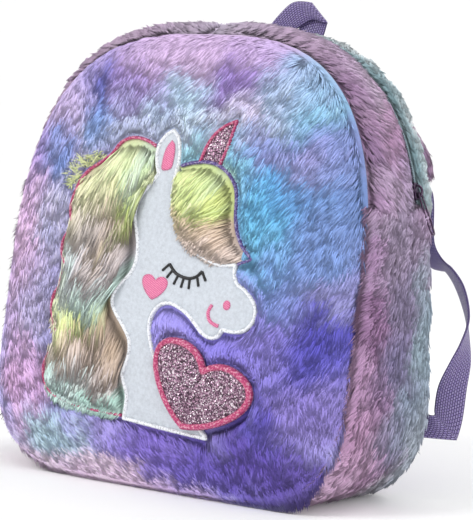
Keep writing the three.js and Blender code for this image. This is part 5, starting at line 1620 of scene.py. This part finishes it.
class BAG_OT_zip(Operator):
    """Zip tape, teeth, slider and pull tab"""
    bl_idname = "bag.zip"
    bl_label = "Zip"

    def execute(self, context):
        colours = context.scene.trim_colours
        start = length_at_level(ZIP_LEVEL) + 0.15
        end = 2 * TOP_MIDDLE - start
        self.tape(start, end, tape_material(colours.zip_tape))
        self.teeth(start, end, nylon_material(linear("#1d1833")))
        lacquer = lacquer_material(colours.slider)
        self.slider(lacquer)
        self.pull_tab(lacquer)
        return {"FINISHED"}

    @staticmethod
    def tape(start, end, material):
        """A strip with a raised cord along both its inner edges."""
        length = np.arange(start, end, 2.5)[:, None]
        y = np.array([-4.3, -3.4, -2.9, -2.4, 2.4, 2.9, 3.4, 4.3, 4.3, -4.3]) + TAPE_MIDDLE
        rise = np.array([1.9, 1.9, 2.1, 1.9, 1.9, 2.1, 1.9, 1.9, 1.0, 1.0])
        loops = on_gusset(np.broadcast_to(y, (len(length), 10)), np.broadcast_to(length, (len(length), 10)),
                          np.broadcast_to(rise, (len(length), 10)))
        points, faces = tube_mesh(loops)
        place_piece(mesh_object("tape", points, triangles(faces), material), "zip_tape", ["zip_tape"])

    @staticmethod
    def teeth(start, end, material):
        """Closed coil: turns of nylon 1.5 mm apart, alternately from either side, each an eight-sided
        arch over the middle."""
        middles = np.arange(start + 1, end - 1, 0.75)
        sign = np.where(np.arange(len(middles)) % 2 == 0, 1.0, -1.0)
        across = np.array([-0.6, 0.4, 1.6, 2.5])
        high = np.array([3.6, 4.15, 3.9, 2.7])
        around = np.linspace(0, 2 * math.pi, 5, endpoint=False)
        y = TAPE_MIDDLE + sign[:, None, None] * across[None, :, None] + 0 * around
        rise = high[None, :, None] + 0.42 * np.sin(around)[None, None] + 0 * sign[:, None, None]
        length = middles[:, None, None] + 0.36 * np.cos(around)[None, None] + 0 * high[None, :, None]
        rings = on_gusset(y, length, rise)
        pattern = triangles(tube_mesh(rings[0])[1])
        hubs = rings[:, [0, -1]].mean(2)
        points = np.concatenate([rings.reshape(len(middles), -1, 3), hubs], 1)
        flip = np.where((sign > 0)[:, None, None], pattern[None], pattern[None, :, ::-1])
        faces = (flip + points.shape[1] * np.arange(len(middles))[:, None, None]).reshape(-1, 3)
        place_piece(mesh_object("teeth", points, faces, material), "zip_coil", ["zip_coil"])

    @staticmethod
    def slider(material):
        """Slider: a waisted body with rounded edges, drawn as rings from its foot to its top, and an
        upright crown, a half ring of wire."""
        slope_turn = turn_of(length_at_level(ZIP_LEVEL + 8))
        x, level, out = seam_at(slope_turn)
        base = np.array([x, TAPE_MIDDLE, SEAM_HEIGHT + level])
        outward = np.array([out[0], 0, out[1]])
        upward = np.array([-out[1], 0, out[0]])
        aside = np.array([0, 1.0, 0])
        turn = np.linspace(0, 2 * math.pi, 40, endpoint=False)
        wide = 4.2 * (0.78 + 0.22 * np.sin(turn) ** 2 * np.sign(np.sin(turn) + 1.2))
        ring_a = wide * signed_power(np.cos(turn), 0.6)
        ring_b = 6.0 * signed_power(np.sin(turn), 0.7)
        heights = np.array([4.6, 4.75, 5.2, 5.9, 6.3, 6.4])
        scale = np.array([0.9, 0.97, 1.0, 1.0, 0.95, 0.86])
        loops = base + outward * heights[:, None, None] + aside * (ring_a[None] * scale[:, None])[..., None] \
            + upward * (ring_b[None] * scale[:, None])[..., None]
        body = tube_mesh(loops)
        sweep = np.linspace(-0.06, math.pi + 0.06, 26)
        around = np.linspace(0, 2 * math.pi, 10, endpoint=False)
        radius = 4.2 + 0.8 * np.cos(around)[None]
        out_part = 5.6 + radius * np.sin(sweep)[:, None]
        up_part = radius * np.cos(sweep)[:, None]
        side_part = np.broadcast_to(1.0 * np.sin(around)[None], up_part.shape)
        ring = base + outward * out_part[..., None] + upward * up_part[..., None] \
            + aside * side_part[..., None]
        crown = tube_mesh(ring)
        points, faces = joined([(body[0], triangles(body[1])), (crown[0], triangles(crown[1])[:, ::-1])])
        place_piece(mesh_object("slider", points, faces, material), "slider_metal", ["zip_slider"])

    @staticmethod
    def pull_tab(material):
        """Pull tab: round wire bent into a long loop that widens downwards, with a flattened toe."""
        low, high = [np.array(corner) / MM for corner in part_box("pull_tab")]
        top = np.array([low[0] + 0.95, (low[1] + high[1]) / 2, high[2] - 0.85])
        foot = np.array([high[0] - 0.75, (low[1] + high[1]) / 2, low[2] + 0.45])
        down = (foot - top) / np.linalg.norm(foot - top)
        length = np.linalg.norm(foot - top) - 0.5
        aside = np.array([0, 1.0, 0])
        out = np.cross(aside, down)
        turn = np.linspace(0, 2 * math.pi, 72, endpoint=False)
        along = (length / 2) * (1 - signed_power(np.cos(turn), 0.55))
        half = mix(2.1, 2.8, along / length)
        across = half * signed_power(np.sin(turn), 0.45)
        centre = top + down * along[:, None] + aside * across[:, None]
        way = np.roll(centre, -1, 0) - np.roll(centre, 1, 0)
        way /= np.linalg.norm(way, axis=1, keepdims=True)
        sideways = np.cross(way, out)
        around = np.linspace(0, 2 * math.pi, 10, endpoint=False)
        wire = mix(0.62, 0.95, smoothstep(0.86, 1.0, along / length))[:, None, None]
        loops = centre[:, None] + sideways[:, None] * wire * np.cos(around)[None, :, None] \
            + out[None, None] * 0.62 * np.sin(around)[None, :, None]
        points, faces = tube_mesh(loops, True)
        place_piece(mesh_object("tab_loop", points, triangles(faces), material), "slider_metal", ["pull_tab"],
                    "pull_tab")


# Straps and handle

def back_surface_y(x, level):
    """Depth of the back's outside: the pile's rise at that distance from the edge, and its locks, which
    fade out at the seam."""
    distance = (1 - np.minimum(1, fullness(x, level))) * HALF_WIDTH
    relief = 1.3 * LOCK_RELIEF * np.minimum(1, distance / PINCH)
    return on_back(x, level, fur_rise(distance, BACK_PILE) + relief)[..., 1] + SEAM_GAP


def behind_back(path, half_thickness):
    """Places of a path behind the back panel from its shares."""
    across, up, behind = (np.array(one, float) for one in path)
    x, level = across * HALF_WIDTH, up * HEIGHT
    y = back_surface_y(x, level) + half_thickness + behind * STAND_OFF
    return np.stack([x, y, SEAM_HEIGHT + level], -1)


def pad_line(count):
    """Middle line of the right pad with its direction."""
    halves = np.array([PAD_ROOT / 2] + [PAD_THICKNESS / 2] * (len(PAD_PATH[0]) - 1))
    fine = smooth_line(behind_back(PAD_PATH, halves), 0.5)
    line = resample(fine, np.linalg.norm(np.diff(fine, axis=0), axis=1).sum() / count)
    return line, unit(np.gradient(line, axis=0))


PAD_MIDDLE, PAD_WAY = pad_line(60)
PAD_ACROSS = unit(np.stack([-PAD_WAY[:, 2], 0 * PAD_WAY[:, 0], PAD_WAY[:, 0]], -1))
PAD_OUT = unit(np.cross(PAD_WAY, PAD_ACROSS))


def on_pad(side):
    """The surface of a pad as a function: the distance round its section, the distance along it, and
    the rise over a core 4 mm inside its outside."""
    total = np.linalg.norm(np.diff(PAD_MIDDLE, axis=0), axis=1).sum()

    def surface(around, along, rise):
        share = np.clip(along / total, 0, 1)
        place = share * (len(PAD_MIDDLE) - 1)

        def read(table):
            return np.stack([np.interp(place, np.arange(len(table)), table[:, k]) for k in range(3)], -1)

        angle = around / PAD_ROUND
        thick = mix(PAD_ROOT, PAD_THICKNESS, np.minimum(1, 3.2 * share))
        thick = thick * mix(1, 0.55, smoothstep(0.94, 1, share))
        half = PAD_WIDTH / 2 * np.interp(share, *PAD_WIDE)
        a = np.maximum(half - 4 + rise, 1) * signed_power(np.cos(angle), 0.7)
        b = np.maximum(thick / 2 - np.minimum(4, 0.7 * thick / 2) + rise * np.minimum(1, thick / 10), 0.4) \
            * signed_power(np.sin(angle), 0.7)
        over = (along / total - share) * total
        point = read(PAD_MIDDLE) + read(PAD_ACROSS) * a[..., None] + read(PAD_OUT) * b[..., None] \
            + read(PAD_WAY) * over[..., None]
        return point * np.array([side, 1, 1])

    return surface, total


def ribbon_mesh(centres, halves, thickness):
    """Points, faces and UVs in millimetres of a flat ribbon: a section with rounded edges carried along
    its centres, its width turned from row to row."""
    way = np.gradient(centres, axis=0)
    thick = unit(np.cross(way, halves)) * thickness / 2
    share = np.array([-1, -0.9, -0.45, 0, 0.45, 0.9, 1, 0.9, 0.45, 0, -0.45, -0.9])
    level = np.array([0, 1, 1, 1, 1, 1, 0, -1, -1, -1, -1, -1])
    loops = centres[:, None] + halves[:, None] * share[None, :, None] + thick[:, None] * level[None, :, None]
    points, faces = tube_mesh(loops)
    length = np.concatenate([[0], np.cumsum(np.linalg.norm(np.diff(centres, axis=0), axis=1))])
    rows = len(centres)
    along = np.concatenate([np.repeat(length, 12), [0, length[-1]]])
    across = np.concatenate([np.tile(share, rows), [0, 0]]) * WEB_WIDTH / 2
    faces = triangles(faces)
    return points, faces, np.stack([along, across], -1)[faces]


class BAG_OT_straps(Operator):
    """Fur-covered pads and loose webbing of both shoulder straps"""
    bl_idname = "bag.straps"
    bl_label = "Straps"

    def execute(self, context):
        sizes = context.scene.fur_sizes
        webbing = webbing_material(context.scene.trim_colours.webbing)
        for word, side in (("right", 1.0), ("left", -1.0)):
            self.pad(word, side, sizes)
            self.webbing(word, side, webbing)
        return {"FINISHED"}

    @staticmethod
    def pad(word, side, sizes):
        surface, total = on_pad(side)
        round_length = 2 * math.pi * PAD_ROUND
        along, around = np.meshgrid(np.linspace(0, total, 40),
                                    np.linspace(0, round_length, 36, endpoint=False), indexing="ij")
        loops = surface(around, along, np.full(along.shape, 2.0))
        points, faces = tube_mesh(loops)
        # Painted shade: the pad's core under the pile is 0.7 of a mauve, for the shade deep in the pile.
        tone = np.broadcast_to(linear("#b894b6") * 0.7, (len(points), 3))
        made = mesh_object("pad_" + word, points, triangles(faces), plush(), tone)
        place_piece(made, "side_fur", ["strap_pad_" + word])
        rng = np.random.default_rng(151)
        place = scatter((0, 1), (round_length, total - 1), 1.55, rng)
        heading = np.radians(90) + 0.35 * ripple(place[:, 0], place[:, 1], 30, 152)
        length = np.minimum(13.0, np.maximum(5.0, total + 5 - place[:, 1]))
        tone = smoothstep(-0.7, 0.7, ripple(place[:, 0], place[:, 1], 40, 153))[:, None]
        colour = mix(linear("#b993b8"), linear("#cbb0cc"), tone)

        def envelope(a, b):
            return np.full(np.shape(a), 4.0) * np.minimum(1, 0.4 + 3 * b / total)

        points, faces, shades, lays = fur(surface, place, envelope, colour, heading, length,
                                          sizes.hair_width / MM, 154, relief=1.2, base=0.3)
        place_piece(mesh_object("pad_pile_" + word, points, faces, plush(), shades, lays=lays), "side_fur")

    @staticmethod
    def webbing(word, side, material):
        places = behind_back(WEB_PATH, WEB_THICKNESS / 2)
        places[-1, 0] = panel_half_width(np.array(WEB_PATH[1][-1] * HEIGHT)) + SEAM_GAP / 2
        turn, lean = np.radians(WEB_TURN), np.radians(WEB_LEAN)
        half = WEB_WIDTH / 2 * np.array(WEB_SPREAD)[:, None]
        halves = np.stack([np.cos(turn) * np.cos(lean), np.sin(turn) * np.cos(lean), np.sin(lean)], -1) * half
        end, way = PAD_MIDDLE[-1], PAD_WAY[-1]
        centres = np.vstack([end + way * 0.3, end + way * 12, places])
        start = -PAD_ACROSS[-1] * WEB_WIDTH / 2
        rows = np.hstack([centres, np.vstack([start, start, halves])])
        fine = smooth_line(rows, 2.0)
        mirror = np.array([side, 1, 1])
        points, faces, uvs = ribbon_mesh(fine[:, :3] * mirror, fine[:, 3:] * mirror, WEB_THICKNESS)
        made = mesh_object("webbing_" + word, points, faces, material, uvs=uvs)
        place_piece(made, "webbing", ["strap_webbing_" + word])


class BAG_OT_handle(Operator):
    """Webbing handle sewn into the top seam"""
    bl_idname = "bag.handle"
    bl_label = "Handle"

    def execute(self, context):
        webbing = bpy.data.materials.get("woven_polypropylene") \
            or webbing_material(context.scene.trim_colours.webbing)
        across, up, forward = (np.array(one, float) for one in HANDLE_PATH)
        x = HANDLE["middle"] + across * HANDLE["reach"]
        y = BACK_SEAM_Y + SEAM_GAP + WEB_THICKNESS / 2 + forward * HANDLE["run_gap"]
        z = SEAM_HEIGHT + panel_top(x) + SEAM_GAP + up * HANDLE["rise"]
        lean = np.radians(HANDLE_LEAN)
        half = (WEB_WIDTH / 2 * np.array(HANDLE_SPREAD))[:, None]
        halves = np.stack([np.cos(lean), 0 * lean, np.sin(lean)], -1) * half
        fine = smooth_line(np.hstack([np.stack([x, y, z], -1), halves]), 1.5)
        points, faces, uvs = ribbon_mesh(fine[:, :3], fine[:, 3:], WEB_THICKNESS)
        place_piece(mesh_object("handle", points, faces, webbing, uvs=uvs), "webbing", ["top_handle"])
        return {"FINISHED"}


class BAG_OT_stage(Operator):
    """Paper floor and backdrop, soft lights and the camera"""
    bl_idname = "bag.stage"
    bl_label = "Stage"

    def execute(self, context):
        self.paper()
        self.lights(context.scene)
        self.camera(context.scene)
        return {"FINISHED"}

    @staticmethod
    def paper():
        """A sheet that lies flat under the bag and curves up a quarter circle far behind it."""
        turn = np.linspace(0, math.pi / 2, 24)
        run = np.concatenate([[-4000, 1800], 1800 + 900 * np.sin(turn[1:]), [2700]])
        rise = np.concatenate([[0, 0], 900 * (1 - np.cos(turn[1:])), [4500]])
        across = np.array([-5000.0, 5000.0])
        facing = math.radians(-33.5)
        x = across[None] * math.cos(facing) + run[:, None] * math.sin(facing)
        y = -across[None] * math.sin(facing) + run[:, None] * math.cos(facing)
        outer = np.stack([x, y, np.repeat(rise[:, None], 2, 1)], -1)
        inner = outer - [0, 0, 5]
        points, faces = shell_mesh(outer, inner)
        mesh_object("paper", points, faces, paper_material())

    @staticmethod
    def lights(scene):
        world = bpy.data.worlds.new("studio")
        world.use_nodes = True
        world.node_tree.nodes["Background"].inputs["Color"].default_value = (1.0, 1.0, 1.0, 1.0)
        world.node_tree.nodes["Background"].inputs["Strength"].default_value = 0.8
        scene.world = world
        for name, place, size, power in [
            ("key", (-0.9, -1.9, 1.7), 1.2, 24),
            ("fill", (1.9, -1.2, 0.9), 1.4, 7),
            ("rim", (0.6, 1.6, 1.9), 1.4, 16),
        ]:
            light = bpy.data.lights.new(name, "AREA")
            light.shape, light.size, light.energy = "DISK", size, power
            lamp = bpy.data.objects.new(name, light)
            lamp.location = place
            lamp.rotation_mode = "QUATERNION"
            lamp.rotation_quaternion = (Vector((0, 0, 0.15)) - Vector(place)).to_track_quat("-Z", "Y")
            scene.collection.objects.link(lamp)
        scene.view_settings.view_transform = "Standard"

    @staticmethod
    def camera(scene):
        data = bpy.data.cameras.new("camera")
        data.lens, data.sensor_width = 133.3, 36.0
        data.clip_end = 30.0
        camera = bpy.data.objects.new("camera", data)
        place = Vector((0.75115, -1.09976, 0.24134))
        aim = Vector((0.01616, 0.01081, 0.15526))
        roll = math.radians(2.895)
        back = (place - aim).normalized()
        level = Vector((0, 0, 1)).cross(back).normalized()
        upright = back.cross(level)
        right = level * math.cos(roll) + upright * math.sin(roll)
        up = upright * math.cos(roll) - level * math.sin(roll)
        camera.matrix_world = Matrix.Translation(place) @ Matrix((right, up, back)).transposed().to_4x4()
        scene.collection.objects.link(camera)
        scene.camera = camera


class BAG_PT_panel(Panel):
    bl_idname = "BAG_PT_panel"
    bl_label = "Plush backpack"
    bl_space_type = "VIEW_3D"
    bl_region_type = "UI"
    bl_category = "Backpack"

    def draw(self, context):
        layout = self.layout
        for group in (context.scene.fur_sizes, context.scene.trim_colours):
            for name in group.bl_rna.properties.keys():
                if name not in {"rna_type", "name"}:
                    layout.prop(group, name)
        for operator in OPERATORS:
            layout.operator(operator.bl_idname)


OPERATORS = (BAG_OT_front_fur, BAG_OT_back_fur, BAG_OT_gusset_fur, BAG_OT_head, BAG_OT_horn_heart,
             BAG_OT_hair, BAG_OT_zip, BAG_OT_straps, BAG_OT_handle, BAG_OT_stage)
CLASSES = (FurSizes, TrimColours, *OPERATORS, BAG_PT_panel)


def register():
    for one in CLASSES:
        bpy.utils.register_class(one)
    bpy.types.Scene.fur_sizes = PointerProperty(type=FurSizes)
    bpy.types.Scene.trim_colours = PointerProperty(type=TrimColours)


def unregister():
    del bpy.types.Scene.trim_colours
    del bpy.types.Scene.fur_sizes
    for one in reversed(CLASSES):
        bpy.utils.unregister_class(one)


def main():
    register()
    for operator in ("front_fur", "back_fur", "gusset_fur", "head", "horn_heart", "hair", "zip",
                     "straps", "handle", "stage"):
        getattr(bpy.ops.bag, operator)()


if __name__ == "__main__":
    main()
